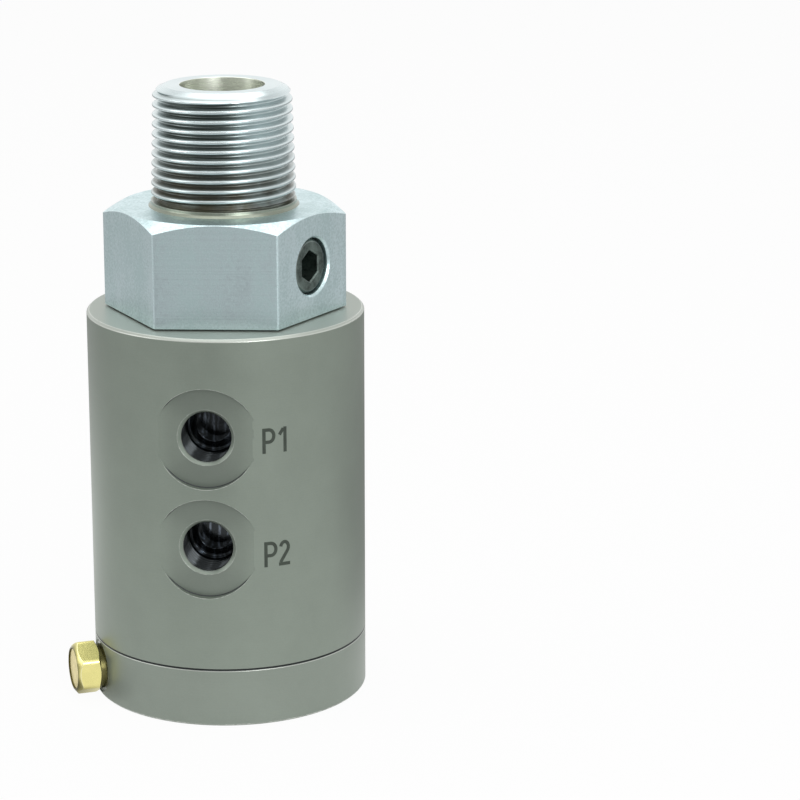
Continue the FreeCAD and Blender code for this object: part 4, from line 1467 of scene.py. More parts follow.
@dataclass
class EndCap:
    """End cap with its screws.

    Attributes:
        base_chamfer: Chamfer round the foot.
        joint_chamfer: Chamfer at the joint.
        screw_circle: Radius of the circle of screws.
        first_screw: Azimuth of the first screw.
        screw_count: Number of screws.
        counterbore_radius: Radius of the counterbores.
        counterbore_depth: Depth of the counterbores.
        counterbore_edge: Chamfer round the counterbores.
        hole_radius: Radius of the screw holes.
        spot_radius: Radius of the spot face under the breather.
        spot_distance: Distance of that spot face from the main axis.
        chamber_radius: Radius of the leak chamber.
        floor: Thickness of the floor.
        spigot: Radius of the spigot.
        head_radius: Radius of a screw's head.
        head_height: Height of a screw's head.
        shank_radius: Radius of a screw's shank.
        shank_length: Length of a screw's shank.
        head_chamfer: Chamfer round a screw's head.
        tip_chamfer: Chamfer at the end of a screw's shank.
        socket_af: A screw's socket across flats.
        socket_depth: Depth of that socket.
        socket_cone: Depth of the cone under the socket.
        socket_edge: Chamfer round the socket.
    """

    base_chamfer: float = 0.4
    joint_chamfer: float = 0.3
    screw_circle: float = 27.0
    first_screw: float = -35.0
    screw_count: int = 6
    counterbore_radius: float = 3.9
    counterbore_depth: float = 4.4
    counterbore_edge: float = 0.2
    hole_radius: float = 2.25
    spot_radius: float = 6.4
    spot_distance: float = 32.4
    chamber_radius: float = 16.6
    floor: float = 4.5
    spigot: float = 18.45
    head_radius: float = 3.5
    head_height: float = 4.0
    shank_radius: float = 2.0
    shank_length: float = 16.0
    head_chamfer: float = 0.3
    tip_chamfer: float = 0.5
    socket_af: float = 3.0
    socket_depth: float = 2.0
    socket_cone: float = 0.5
    socket_edge: float = 0.15

    def __post_init__(self) -> None:
        """Take the outer sizes from the frame."""
        _, high = box_mm("end_cap")
        joint, _ = box_mm("housing")
        self.radius = high.x
        self.joint = joint.z
        self.spigot_top = high.z

    def screw_axes(self) -> list[Axis]:
        """Axes of the screws, upwards from the base."""
        axes = []
        for index in range(self.screw_count):
            azimuth = math.radians(self.first_screw + 360 / self.screw_count * index)
            start = Axis.main().at(0.0, self.screw_circle, azimuth)
            axes.append(Axis(start, Vector((0, 0, 1)), Vector((0, -1, 0))))
        return axes

    def mesh(self, breather: Breather) -> bpy.types.Mesh:
        """Build the cap's mesh.

        Args:
            breather: The breather that is screwed into it.

        Returns:
            The mesh.
        """
        blank = Skin()
        blank.turned(Axis.main(), rounded([
            (0.0, 0.0),
            (0.0, self.radius - self.base_chamfer, 0.15),
            (self.base_chamfer, self.radius, 0.15),
            # The joint's chamfer is lightened as wear and painted highlight.
            (self.joint - self.joint_chamfer, self.radius, 0.12, 0.3),
            (self.joint, self.radius - self.joint_chamfer, 0.05),
            (self.joint, self.spigot),
            (self.spigot_top, self.spigot, 0.2),
            (self.spigot_top, self.chamber_radius),
            (self.floor, self.chamber_radius),
            (self.floor, 0.0),
        ]), segments=288)
        beyond = 1.0
        cutters = []
        for axis in self.screw_axes():
            tool = Skin()
            tool.turned(axis, rounded([
                (-beyond, 0.0),
                (-beyond, self.counterbore_radius + self.counterbore_edge + beyond),
                (self.counterbore_edge, self.counterbore_radius, 0.05),
                (self.counterbore_depth, self.counterbore_radius, 0.15),
                (self.counterbore_depth, self.hole_radius),
                (self.joint + beyond, self.hole_radius),
                (self.joint + beyond, 0.0),
            ]), segments=64)
            cutters.append(tool.to_mesh("counterbore"))
        spot = Skin()
        spot.turned(breather.axis(), rounded([
            (self.spot_distance - breather.hole_depth, 0.0),
            (self.spot_distance - breather.hole_depth, breather.thread_radius),
            (self.spot_distance, breather.thread_radius),
            (self.spot_distance, self.spot_radius, 0.1),
            (self.radius + 2 * beyond, self.spot_radius),
            (self.radius + 2 * beyond, 0.0),
        ]), segments=128)
        cutters.append(spot.to_mesh("breather_spot"))
        return carved("end_cap_shell", blank.to_mesh("cap_blank"), cutters)

    def screw_mesh(self) -> bpy.types.Mesh:
        """Build the six socket screws as one mesh."""
        skin = Skin()
        bottom = self.counterbore_depth - self.head_height
        end = self.counterbore_depth + self.shank_length
        for axis in self.screw_axes():
            columns = []
            for turn, reach in hexagon_reaches(self.socket_af, per_face=12):
                profile = rounded([
                    (bottom + self.socket_depth + self.socket_cone, 0.0),
                    (bottom + self.socket_depth, reach),
                    (bottom + self.socket_edge, reach, 0.04),
                    (bottom, reach + self.socket_edge),
                    (bottom, self.head_radius - self.head_chamfer, 0.1),
                    (bottom + self.head_chamfer, self.head_radius, 0.15),
                    (self.counterbore_depth, self.head_radius, 0.1),
                    (self.counterbore_depth, self.shank_radius, 0.15),
                    (end - self.tip_chamfer, self.shank_radius),
                    (end, self.shank_radius - self.tip_chamfer),
                    (end, 0.0),
                ])
                columns.append([(axis.at(along, radius, turn), edge) for along, radius, edge in profile])
            skin.sweep(columns)
        return skin.to_mesh("cap_screws_set")

    def build(self, finish: bpy.types.Material, black: bpy.types.Material, breather: Breather) -> None:
        """Add the cap and its screws to the scene.

        Args:
            finish: The cap's material.
            black: The screws' material.
            breather: The breather that is screwed into the cap.
        """
        add_piece("end_cap_shell", self.mesh(breather), finish, Body.STATOR, ["end_cap"])
        add_piece("cap_screw_set", self.screw_mesh(), black, Body.STATOR, ["cap_screws"])


@dataclass
class Breather:
    """Brass breather of the end cap: hexagon head, threaded stub and sintered disc.

    Attributes:
        azimuth: Azimuth of its axis.
        height: Height of its axis.
        seat: Distance of its seat from the main axis.
        collar: Length of the round collar between seat and hexagon.
        collar_radius: Radius of that collar.
        end: Distance of its outer end.
        across_flats: Hexagon across flats.
        face_radius: Radius of the flat outer end.
        face_slope: Slope of the bevel at the outer end.
        back_radius: Radius of the flat back of the hexagon.
        back_slope: Slope of the bevel at the back.
        cup_radius: Radius of the cup that holds the disc.
        cup_depth: Depth of the cup.
        disc_thickness: Thickness of the disc.
        thread_radius: Radius of the stub.
        stub_length: Length of the stub.
        hole_depth: Length of the hole for the stub.
        bore: Radius of the vent bore.
        corner: Length that a corner's rounding takes of each face.
        cup_edge: Chamfer round the cup.
        gap: Room round the stub in its hole, and round the disc in the cup.
    """

    azimuth: float = -65.0
    height: float = 7.0
    seat: float = 32.4
    collar: float = 1.5
    collar_radius: float = 5.4
    end: float = 39.6
    across_flats: float = 11.7
    face_radius: float = 5.15
    face_slope: float = math.tan(math.radians(38))
    back_radius: float = 5.7
    back_slope: float = math.tan(math.radians(30))
    cup_radius: float = 4.9
    cup_depth: float = 2.6
    disc_thickness: float = 2.2
    thread_radius: float = 4.86
    stub_length: float = 6.5
    hole_depth: float = 8.0
    bore: float = 2.0
    corner: float = 0.8
    cup_edge: float = 0.1
    gap: float = 0.02

    def axis(self) -> Axis:
        """Axis of the breather, outwards."""
        return Axis.radial(self.azimuth, self.height)

    def body_mesh(self) -> bpy.types.Mesh:
        """Build the brass body."""
        skin = Skin()
        axis = self.axis()
        columns = []
        back = self.seat + self.collar
        stub = self.thread_radius - self.gap
        for turn, reach in hexagon_reaches(self.across_flats, self.corner, per_face=18):
            face_drop = max(reach - self.face_radius, 0.0) * self.face_slope
            back_drop = max(reach - self.back_radius, 0.0) * self.back_slope
            # The cup's edge, the back of the hexagon and the collar are darkened as painted shade.
            profile = rounded([
                (self.end - self.cup_depth, self.bore),
                (self.end - self.cup_depth, self.cup_radius),
                (self.end - self.cup_edge, self.cup_radius, 0.05, -1.0),
                (self.end, self.cup_radius + self.cup_edge, 0.05, -0.8),
                (self.end, self.face_radius, 0.06),
                (self.end - face_drop, reach, 0.14),
                (back + back_drop, reach, 0.08),
                (back, self.back_radius, 0.06, -0.9),
                (back, self.collar_radius, 0.02, -0.85),
                (self.seat, self.collar_radius, 0.1),
                (self.seat, stub),
                (self.seat - self.stub_length, stub),
                (self.seat - self.stub_length, self.bore),
            ], closed=True)
            columns.append([(axis.at(along, radius, turn), edge) for along, radius, edge in profile])
        skin.sweep(columns, closed=True)
        return skin.to_mesh("breather_hexagon")

    def disc_mesh(self) -> bpy.types.Mesh:
        """Build the sintered disc."""
        skin = Skin()
        floor = self.end - self.cup_depth
        face = floor + self.disc_thickness
        radius = self.cup_radius - self.gap
        skin.turned(self.axis(), rounded([
            (floor, 0.0),
            (floor, radius),
            (face, radius, 0.15),
            (face, 0.0),
        ]), segments=96)
        return skin.to_mesh("breather_filter")

    def build(self, brass: bpy.types.Material, bronze: bpy.types.Material) -> None:
        """Add the breather to the scene.

        Args:
            brass: Material of the body.
            bronze: Material of the disc.
        """
        stator = Body.STATOR
        add_piece("breather_hexagon", self.body_mesh(), brass, stator, ["breather_body"])
        add_piece("breather_filter", self.disc_mesh(), bronze, stator, ["breather_disc"])


@dataclass
class Rotor:
    """Turning shaft: stem, hexagon with its socket plug, and taper-threaded nose.

    Attributes:
        across_flats: Hexagon across flats.
        hex_bottom: Height of the hexagon's underside.
        hex_top: Height of the hexagon's top.
        hex_inset: Distance of the chamfer circle inside the flats.
        hex_corner: Length that a corner's rounding takes of each face.
        slope: Slope of the hexagon's chamfer.
        face_azimuth: Azimuth of the face with the outlet.
        collar_radius: Radius of the collar under the thread.
        collar_height: Height of the collar.
        collar_root: Size of the collar's root.
        thread_foot: Crest radius at the top of the collar.
        taper: Loss of radius for each unit of height.
        tip_radius: Radius of the flat end.
        tip_rim_radius: Outer radius of the shallow slope round it.
        tip_rim_drop: Height of that slope.
        tip_chamfer: Distance from the end to the foot of the chamfer.
        thread_fade: Height over which the grooves run out at the end of the chamfer.
        relief_height: Height of the groove between collar and thread.
        relief_slope: Gain of radius for each unit of height over that groove.
        mouth_radius: Radius of the bore at the mouth.
        mouth_depth: Depth of that bore.
        mouth_edge: Broken edge of that bore.
        seat_radius: Radius of the bore below it.
        outlet_radius: Radius of the side outlet.
        outlet_mouth: Countersink of the side outlet.
        outlet_taper: How much narrower the side outlet and its plug are at their inner ends.
        plug_gap: Room round the plug.
        plug_recess: Depth of the plug's face under the hexagon's face.
        plug_chamfer: Chamfer round the plug's face.
        plug_length: Length of the plug.
        socket_af: The plug's socket across flats.
        socket_depth: Depth of the socket.
        socket_cone: Depth of the cone behind the socket.
        socket_edge: Chamfer round the socket.
        stem_radius: Radius of the stem.
        shoulder_radius: Radius of the shoulder under the hexagon.
        journal_radius: Radius of the lower journal.
        journal_chamfer: Chamfer at its end.
    """

    across_flats: float = 50.0
    hex_bottom: float = 94.35
    hex_top: float = 118.85
    hex_inset: float = 0.2
    hex_corner: float = 0.5
    slope: float = math.tan(math.radians(30))
    face_azimuth: float = 64.25
    collar_radius: float = 17.2
    collar_height: float = 1.3
    collar_root: float = 0.6
    thread_foot: float = 17.14
    taper: float = 1 / 32
    tip_radius: float = 13.6
    tip_rim_radius: float = 15.3
    tip_rim_drop: float = 0.75
    tip_chamfer: float = 1.9
    thread_fade: float = 0.45
    relief_height: float = 0.25
    relief_slope: float = 1.6
    mouth_radius: float = 10.0
    mouth_depth: float = 6.8
    mouth_edge: float = 0.08
    seat_radius: float = 9.0
    outlet_radius: float = 6.72
    outlet_mouth: float = 0.5
    outlet_taper: float = 0.3
    plug_gap: float = 0.02
    plug_recess: float = 0.8
    plug_chamfer: float = 0.85
    plug_length: float = 10.0
    socket_af: float = 6.6
    socket_depth: float = 5.5
    socket_cone: float = 1.2
    socket_edge: float = 0.25
    stem_radius: float = 15.0
    shoulder_radius: float = 17.5
    journal_radius: float = 12.5
    journal_chamfer: float = 0.8

    def __post_init__(self) -> None:
        """Take the levels of the shaft's ends from the frame."""
        low, high = box_mm("rotor_shaft")
        self.bottom = low.z
        self.top = high.z
        self.lock_ring_top = self.top - self.mouth_depth
        _, bearing_high = box_mm("top_bearing_inner_ring")
        self.shoulder_bottom = bearing_high.z
        _, low_bearing_high = box_mm("low_bearing_inner_ring")
        self.journal_top = low_bearing_high.z

    def outlet_axis(self) -> Axis:
        """Axis of the side outlet, outwards."""
        return Axis.radial(self.face_azimuth, (self.hex_bottom + self.hex_top) / 2)

    def hexagon_mesh(self) -> bpy.types.Mesh:
        """Build the hexagon with its chamfer arcs and the side outlet."""
        skin = Skin()
        main = Axis.main()
        flat_circle = self.across_flats / 2 - self.hex_inset
        first_corner = math.radians(self.face_azimuth + 30)
        columns = []
        for turn, reach in hexagon_reaches(self.across_flats, self.hex_corner, 28, first_corner):
            drop = (reach - flat_circle) * self.slope
            profile = rounded([
                (self.hex_top, self.seat_radius),
                (self.hex_top, flat_circle, 0.06),
                (self.hex_top - drop, reach, 0.1),
                (self.hex_bottom, reach, 0.12),
                (self.hex_bottom, self.seat_radius),
            ], closed=True)
            columns.append([(main.at(along, radius, turn), edge) for along, radius, edge in profile])
        skin.sweep(columns, closed=True)
        tool = Skin()
        face = self.across_flats / 2
        beyond = 1.0
        tool.turned(self.outlet_axis(), rounded([
            (self.seat_radius - beyond, 0.0),
            (self.seat_radius - beyond, self.outlet_radius - self.outlet_taper),
            (face - self.outlet_mouth, self.outlet_radius, 0.12),
            (face + beyond, self.outlet_radius + self.outlet_mouth + beyond),
            (face + beyond, 0.0),
        ]), segments=128)
        return carved("shaft_hexagon", skin.to_mesh("hexagon_blank"), [tool.to_mesh("outlet_tool")])

    def nose_limit(self, along: float, depth: float) -> float:
        """Radius of the nose's surface at a height and a depth under the crests.

        Args:
            along: Height.
            depth: Depth under the crests.

        Returns:
            The radius.
        """
        foot = self.hex_top + self.collar_height
        crest = self.thread_foot - (along - foot) * self.taper
        chamfer_foot = self.top - self.tip_chamfer
        rim_level = self.top - self.tip_rim_drop
        crest_there = self.thread_foot - (chamfer_foot - foot) * self.taper
        slope = (crest_there - self.tip_rim_radius) / (rim_level - chamfer_foot)
        tip = self.tip_rim_radius + (rim_level - along) * slope
        fade = smoothstep(rim_level, rim_level - self.thread_fade, along)
        relief_floor = self.thread_foot - NOSE_THREAD.depth
        relief = relief_floor + max(along - foot - self.relief_height, 0.0) * self.relief_slope
        return min(crest - depth * fade, tip, relief)

    def nose_mesh(self) -> bpy.types.Mesh:
        """Build the nose: collar, helical taper thread, chamfered end and mouth."""
        skin = Skin()
        main = Axis.main()
        segments = 240
        foot = self.hex_top + self.collar_height
        relief_floor = self.thread_foot - NOSE_THREAD.depth
        skin.turned(main, rounded([
            (self.hex_top, self.seat_radius),
            (self.hex_top, self.collar_radius + self.collar_root),
            (self.hex_top + self.collar_root, self.collar_radius, 0.2),
            (foot, self.collar_radius, 0.14),
            (foot, relief_floor),
        ]), segments)
        rim_level = self.top - self.tip_rim_drop
        skin.sweep(NOSE_THREAD.columns(main, foot, rim_level, self.nose_limit, segments), loop=False)
        skin.turned(main, rounded([
            (rim_level, self.tip_rim_radius),
            (self.top, self.tip_radius, 0.2),
            (self.top, self.mouth_radius + self.mouth_edge, 0.03),
            (self.top - self.mouth_edge, self.mouth_radius, 0.03),
            (self.lock_ring_top, self.mouth_radius),
            (self.lock_ring_top, self.seat_radius),
            (self.hex_top, self.seat_radius),
        ]), segments)
        return skin.to_mesh("shaft_nose")

    def stem_mesh(self) -> bpy.types.Mesh:
        """Build the stem with its shoulder and lower journal."""
        skin = Skin()
        skin.turned(Axis.main(), rounded([
            (self.bottom, 0.0),
            (self.bottom, self.journal_radius - self.journal_chamfer, 0.1),
            (self.bottom + self.journal_chamfer, self.journal_radius, 0.1),
            (self.journal_top, self.journal_radius),
            (self.journal_top, self.stem_radius, 0.15),
            (self.shoulder_bottom, self.stem_radius),
            (self.shoulder_bottom, self.shoulder_radius, 0.15),
            (self.hex_bottom, self.shoulder_radius),
            (self.hex_bottom, self.seat_radius),
            (self.shoulder_bottom, self.seat_radius),
            (self.shoulder_bottom, 0.0),
        ]), segments=160)
        return skin.to_mesh("shaft_stem")

    def plug_mesh(self) -> bpy.types.Mesh:
        """Build the socket plug."""
        skin = Skin()
        axis = self.outlet_axis()
        face = self.across_flats / 2 - self.plug_recess
        wall = self.outlet_radius - self.plug_gap
        columns = []
        for turn, reach in hexagon_reaches(self.socket_af):
            profile = rounded([
                (face - self.socket_depth - self.socket_cone, 0.0),
                (face - self.socket_depth, reach),
                (face - self.socket_edge, reach, 0.06),
                (face, reach + self.socket_edge, 0.1),
                (face, wall - self.plug_chamfer, 0.2),
                # The foot of the plug's chamfer and its side in the hole are darkened as painted shade of the
                # gap.
                (face - self.plug_chamfer, wall, 0.2, -0.8),
                (face - self.plug_length, wall - self.outlet_taper),
                (face - self.plug_length, 0.0),
            ])
            columns.append([(axis.at(along, radius, turn), edge) for along, radius, edge in profile])
        skin.sweep(columns)
        return skin.to_mesh("outlet_plug_body")

    def build(self, zinc: bpy.types.Material, thread: bpy.types.Material, plug: bpy.types.Material) -> None:
        """Add the shaft and its plug to the scene.

        Args:
            zinc: Material of the hexagon and the stem.
            thread: Material of the nose.
            plug: Material of the plug.
        """
        shaft = ["rotor_shaft"]
        add_piece("shaft_hexagon", self.hexagon_mesh(), zinc, Body.ROTOR, shaft)
        add_piece("shaft_nose", self.nose_mesh(), thread, Body.ROTOR, shaft)
        add_piece("shaft_stem", self.stem_mesh(), zinc, Body.ROTOR, shaft)
        add_piece("outlet_plug_body", self.plug_mesh(), plug, Body.ROTOR, ["outlet_plug"])


@dataclass
class LockRing:
    """Black threaded ring with a driver slot, in the mouth of the nose.

    Attributes:
        bore: Radius of its hole.
        slot_width: Width of the slot.
        slot_depth: Depth of the slot.
        slot_azimuth: Direction of the slot.
        slot_reach: Distance from the middle that the slot's cutter covers.
        chamfer: Chamfer round the top.
        broken_edge: Width of its broken edges.
    """

    bore: float = 4.4
    slot_width: float = 3.0
    slot_depth: float = 2.4
    slot_azimuth: float = -20.0
    slot_reach: float = 12.0
    chamfer: float = 0.25
    broken_edge: float = 0.12

    def mesh(self) -> bpy.types.Mesh:
        """Build the ring."""
        low, high = box_mm("tube_lock_ring")
        blank = Skin()
        blank.turned(Axis.main(), rounded([
            (low.z, self.bore),
            (high.z, self.bore, 0.2),
            (high.z, high.x - self.chamfer, 0.1),
            (high.z - self.chamfer, high.x, 0.1),
            (low.z, high.x),
        ], closed=True), segments=128, closed=True)
        slot = Skin()
        way = Axis.main().at(0.0, 1.0, math.radians(self.slot_azimuth))
        side = Vector((-way.y, way.x, 0)) * (self.slot_width / 2)
        floor = Vector((0, 0, high.z - self.slot_depth))
        top = Vector((0, 0, high.z + 1.0))
        corners = [side + floor, side + top, top - side, floor - side]
        ends = (-self.slot_reach, self.slot_reach)
        columns = [[(way * reach + corner, 0.0) for corner in corners] for reach in ends]
        slot.sweep(columns, loop=False, closed=True)
        for column in columns:
            slot.face(*[slot.point(place) for place, _ in column])
        return carved("lock_ring_body", blank.to_mesh("lock_ring_blank"), [slot.to_mesh("slot_tool")])

    def build(self, black: bpy.types.Material) -> None:
        """Add the ring to the scene.

        Args:
            black: Its material.
        """
        node = ["tube_lock_ring"]
        piece = add_piece("lock_ring_body", self.mesh(), black, Body.ROTOR, node)
        bevel = piece.modifiers.new("broken edges", "BEVEL")
        bevel.width = self.broken_edge * MM
        bevel.segments = 2
        bevel.limit_method = "ANGLE"
        bevel.angle_limit = math.radians(50)
        piece.modifiers.move(1, 0)


@dataclass
class InnerParts:
    """Bearings, seals and the flow tube, which keep their frame meshes.

    Attributes:
        finishes: Material of each record slot that inner parts use.
    """

    finishes: dict[str, bpy.types.Material]

    def build(self) -> None:
        """Give every frame node that shows its finish."""
        slots = {item["node"]: item["material_slot"] for item in frame["record"]["subparts"]}
        for name, node in frame["nodes"].items():
            finish = self.finishes.get(slots[name])
            if finish is None or node.hide_render:
                continue
            for slot in node.material_slots:
                slot.material = finish
            LOG.info("%s: finish %s", name, finish.name)


@dataclass(frozen=True)
class FloorCard:
    """Dark or light card on the studio floor, which only reflections show.

    Attributes:
        place: Its middle in millimetres.
        inner: Distance from the middle within which it is full.
        outer: Distance at which it has faded out.
        loss: Share of the floor's level that it takes away, under 0 for a light card.
    """

    place: Corner
    inner: float
    outer: float
    loss: float

    def level(self, graph: Graph, across: Signal, deep: Signal) -> Signal:
        """Share of the floor's level that is left.

        Args:
            graph: The floor's graph, which is not used.
            across: The floor's x in millimetres.
            deep: The floor's y in millimetres.

        Returns:
            The share.
        """
        right = across - self.place[0]
        back = deep - self.place[1]
        away = (right * right + back * back) ** 0.5
        return 1 - (1 - away.between(self.inner, self.outer)) * self.loss


@dataclass(frozen=True)
class SoftBox:
    """Rectangular studio lamp.

    Attributes:
        name: Its name.
        place: Its place in millimetres.
        size: Its width and height in millimetres.
        power: Its power in watts.
    """

    name: str
    place: Corner
    size: Corner
    power: float

    def add(self, target: Vector) -> None:
        """Add the lamp to the scene.

        Args:
            target: The point that it faces.
        """
        data = bpy.data.lights.new(self.name, "AREA")
        data.shape = "RECTANGLE"
        data.size = self.size[0] * MM
        data.size_y = self.size[1] * MM
        data.energy = self.power
        lamp = bpy.data.objects.new(self.name, data)
        bpy.context.scene.collection.objects.link(lamp)
        place = Vector(self.place)
        lamp.location = place * MM
        lamp.rotation_euler = (target - place).to_track_quat("-Z", "Y").to_euler()


@dataclass
class Studio:
    """White product studio: floor, soft lamps, pale world and the camera.

    Attributes:
        camera_azimuth: Azimuth of the camera.
        camera_distance: Level distance of the camera from the main axis.
        camera_height: Height of the camera.
        look_azimuth: Turn of its view from +Y towards -X.
        look_down: Angle of its view below the horizon.
        sensor: Width of its sensor.
        lens: Focal length on that sensor.
        floor_half: Half the width of the floor.
        floor_drop: Depth of the floor under the base.
        floor_near: Distance within which the reflected floor is white.
        floor_far: Distance beyond which it is grey.
        far_floor: Level of the grey.
        floor_white: Share of plain white in the floor that is seen, the rest takes shadows.
        ambient: Level of the world's light.
        ceiling: Level of the reflected sky straight up.
        front_loss: Share that the reflected sky loses on the camera's side.
        cards: Dark and light cards on the floor.
        lamp_target: Height on the main axis that the lamps face.
        lamps: The lamps.
    """

    camera_azimuth: float = 9.35
    camera_distance: float = 700.1
    camera_height: float = 263.5
    look_azimuth: float = 5.95
    look_down: float = 15.42
    sensor: float = 36.0
    lens: float = 135.84
    floor_half: float = 3000.0
    floor_drop: float = 0.05
    floor_near: float = 60.0
    floor_far: float = 380.0
    far_floor: float = 0.42
    floor_white: float = 0.95
    ambient: float = 0.45
    ceiling: float = 0.75
    front_loss: float = 0.35
    cards: tuple[FloorCard, ...] = (
        FloorCard((115.0, 164.0), 80.0, 175.0, 0.62),
        FloorCard((0.0, -400.0), 90.0, 260.0, 0.65),
        FloorCard((300.0, -40.0), 30.0, 120.0, -0.6),
        FloorCard((306.0, 170.0), 60.0, 190.0, -0.35),
        FloorCard((-165.0, 175.0), 80.0, 190.0, -0.4),
        # A painted contact shadow at the breather's foot, which only reflections show.
        FloorCard((-38.0, -20.0), 2.0, 14.0, 0.7),
    )
    lamp_target: float = 75.0
    lamps: tuple[SoftBox, ...] = (
        SoftBox("key", (540, -700, 400), (380, 600), 2.3),
        SoftBox("front", (390, -800, 380), (350, 500), 1.0),
        SoftBox("fill", (-800, -350, 400), (600, 600), 1.4),
        SoftBox("top", (-20, 40, 900), (1000, 1200), 4.4),
    )

    def add_camera(self) -> None:
        """Make the camera."""
        data = bpy.data.cameras.new("camera")
        data.lens = self.lens
        data.sensor_width = self.sensor
        camera = bpy.data.objects.new("camera", data)
        bpy.context.scene.collection.objects.link(camera)
        place = Axis.main().at(self.camera_height, self.camera_distance, math.radians(self.camera_azimuth))
        camera.location = place * MM
        down = math.radians(self.look_down)
        side = math.radians(self.look_azimuth)
        way = Vector((-math.sin(side) * math.cos(down), math.cos(side) * math.cos(down), -math.sin(down)))
        camera.rotation_euler = way.to_track_quat("-Z", "Y").to_euler()
        bpy.context.scene.camera = camera

    @staticmethod
    def seen_rays(graph: Graph) -> tuple[Signal, Signal]:
        """Rays that see the background.

        Args:
            graph: The graph of the floor or the world.

        Returns:
            A mask of camera rays, and one of camera, glossy and transmission rays.
        """
        paths = graph.node("ShaderNodeLightPath", {}, {})
        camera = Signal(graph, paths.outputs["Is Camera Ray"])
        glossy = Signal(graph, paths.outputs["Is Glossy Ray"])
        passed = Signal(graph, paths.outputs["Is Transmission Ray"])
        return camera, camera.joined(glossy).joined(passed)

    def add_floor(self) -> None:
        """Make the white floor, greyer far out for what reflects it."""
        skin = Skin()
        half = self.floor_half
        corners = [(-half, -half), (half, -half), (half, half), (-half, half)]
        skin.face(*[skin.point(Vector((x, y, -self.floor_drop))) for x, y in corners])
        mesh = skin.to_mesh("studio_floor")
        material, graph = new_graph("studio_white")
        camera, seen = self.seen_rays(graph)
        across, deep, _ = graph.coordinates()
        far = ((across * across + deep * deep) ** 0.5).between(self.floor_near, self.floor_far)
        reflected = 1 - far * (1 - self.far_floor)
        for card in self.cards:
            reflected = reflected * card.level(graph, across, deep)
        level = camera + (1 - camera) * reflected
        paper = graph.node("ShaderNodeBsdfDiffuse", {}, {"Color": (0.8, 0.8, 0.8, 1)})
        glow = graph.node("ShaderNodeEmission", {}, {"Color": (1, 1, 1, 1), "Strength": level})
        mix = graph.node(
            "ShaderNodeMixShader", {}, {0: seen * self.floor_white, 1: paper.outputs[0], 2: glow.outputs[0]}
        )
        graph.node("ShaderNodeOutputMaterial", {}, {"Surface": mix.outputs[0]})
        mesh.materials.append(material)
        floor = bpy.data.objects.new("studio_floor", mesh)
        bpy.context.scene.collection.objects.link(floor)

    def add_world(self) -> None:
        """Make the pale world, darker on the camera's side for what reflects it."""
        world = bpy.data.worlds.new("studio")
        world.use_nodes = True
        bpy.context.scene.world = world
        graph = Graph(world.node_tree)
        camera, seen = self.seen_rays(graph)
        way = graph.node("ShaderNodeTexCoord", {}, {}).outputs["Generated"]
        parts = graph.node("ShaderNodeSeparateXYZ", {}, {0: way})
        up = Signal(graph, parts.outputs["Z"])
        front = (0 - Signal(graph, parts.outputs["Y"])).between(0.3, 0.95)
        dimmed = (1 - up.between(0.3, 0.75) * (1 - self.ceiling)) * (1 - front * self.front_loss)
        backdrop = camera + (1 - camera) * dimmed
        strength = backdrop * seen + (1 - seen) * self.ambient
        glow = graph.node("ShaderNodeBackground", {}, {"Color": (1, 1, 1, 1), "Strength": strength})
        graph.node("ShaderNodeOutputWorld", {}, {"Surface": glow.outputs[0]})

    def build(self) -> None:
        """Add the whole studio to the scene."""
        for lamp in self.lamps:
            lamp.add(Vector((0, 0, self.lamp_target)))
        self.add_floor()
        self.add_world()
        self.add_camera()
        settings = bpy.context.scene.view_settings
        settings.view_transform = "Standard"


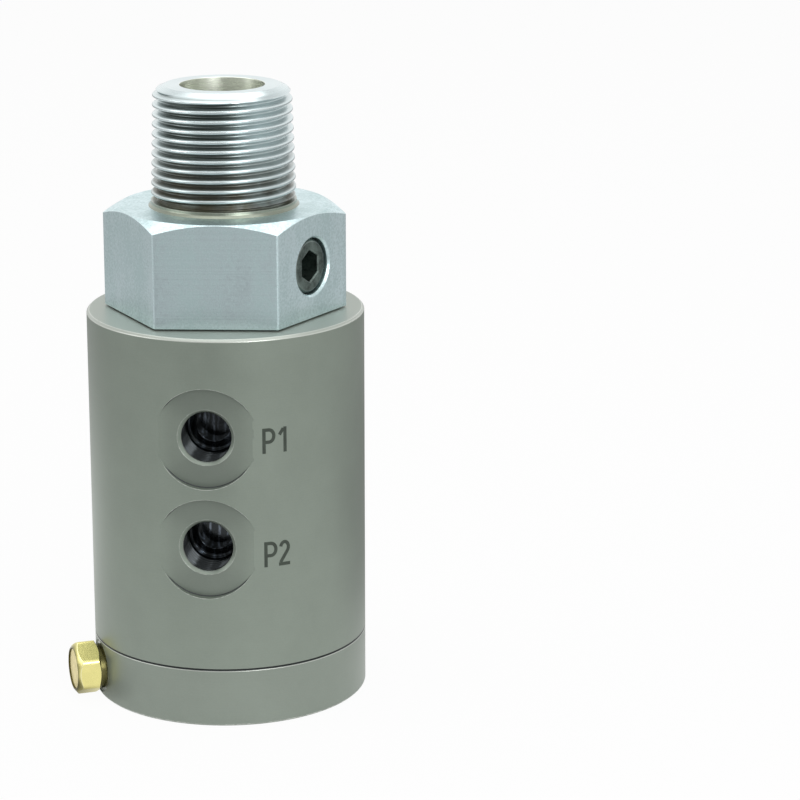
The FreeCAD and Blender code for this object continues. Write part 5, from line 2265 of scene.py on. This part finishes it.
def write_size() -> None:
    """Update the view layer.
    """
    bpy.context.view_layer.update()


def main() -> None:
    """Build the union's pieces, their finishes and the studio."""
    logging.basicConfig(level=logging.INFO, format="%(message)s")
    low, high = box_mm("housing")
    body_finish = HardAnodised(
        "anodised_housing", (0.245, 0.285, 0.243), joint=low.z, oil_shade_radius=31.0, oil_shade_top=high.z - 1.0
    ).material()
    cap_finish = HardAnodised(
        "anodised_cap", (0.25, 0.287, 0.248), joint=low.z, oil_shade_radius=31.0, oil_shade_top=low.z
    ).material()
    ink = Moulded("laser_mark", (0.03, 0.042, 0.03), roughness=0.6).material()
    zinc = ZincPlate("zinc_plate", colour=(0.74, 0.89, 0.92), dull=(0.54, 0.68, 0.69)).material()
    rotor = Rotor()
    nose = CutThread(
        "cut_thread",
        colour=(0.72, 0.81, 0.82),
        groove=(0.11, 0.13, 0.12),
        stain=(0.11, 0.098, 0.068),
        collar=(0.19, 0.205, 0.13),
        bore=(0.93, 0.96, 0.88),
        foot=rotor.hex_top + rotor.collar_height,
        foot_radius=rotor.thread_foot,
        taper=rotor.taper,
        depth=NOSE_THREAD.depth,
        tip=rotor.top,
    ).material()
    black = Moulded("black_oxide", (0.03, 0.033, 0.034), roughness=0.36, relief=0.01, metallic=0.3).material()
    plug = BareMetal(
        "phosphated_plug",
        (0.125, 0.16, 0.145),
        roughness=0.42,
        variation=0.6,
        grain=2.4,
        relief=0.05,
        wear_and_highlight_colour=(0.3, 0.34, 0.33),
    ).material()
    brass = BareMetal(
        "bright_brass",
        (0.84, 0.77, 0.31),
        roughness=0.27,
        variation=0.06,
        grain=1.2,
        relief=0.0008,
        wear_and_highlight_colour=(1.0, 0.98, 0.8),
    ).material()
    bronze = BareMetal(
        "sintered_bronze", (0.82, 0.73, 0.42), roughness=0.6, variation=0.12, grain=3.5, relief=0.05
    ).material()
    breather = Breather()
    Housing().build(body_finish, ink)
    EndCap().build(cap_finish, black, breather)
    breather.build(brass, bronze)
    rotor.build(zinc, nose, plug)
    LockRing().build(black)
    finishes = {
        "tube_steel": BareMetal("turned_tube_steel", (0.55, 0.55, 0.54), roughness=0.3).material(),
        "bearing_steel": BareMetal("ground_bearing_steel", (0.6, 0.6, 0.59), roughness=0.18).material(),
        "ball_steel": BareMetal(
            "polished_ball_steel", (0.68, 0.68, 0.68), roughness=0.08, variation=0.04
        ).material(),
        "cage_brass": BareMetal("cage_brass", (0.62, 0.45, 0.15), roughness=0.32).material(),
        "seal_rubber": Moulded("nitrile_rubber", (0.02, 0.02, 0.02)).material(),
        "seal_slip": Moulded("slip_ring_plastic", (0.12, 0.1, 0.08), roughness=0.45).material(),
        "spring_steel": BareMetal("phosphated_spring", (0.12, 0.12, 0.12), roughness=0.4).material(),
    }
    InnerParts(finishes).build()
    Studio().build()
    write_size()


if __name__ == "__main__":
    main()
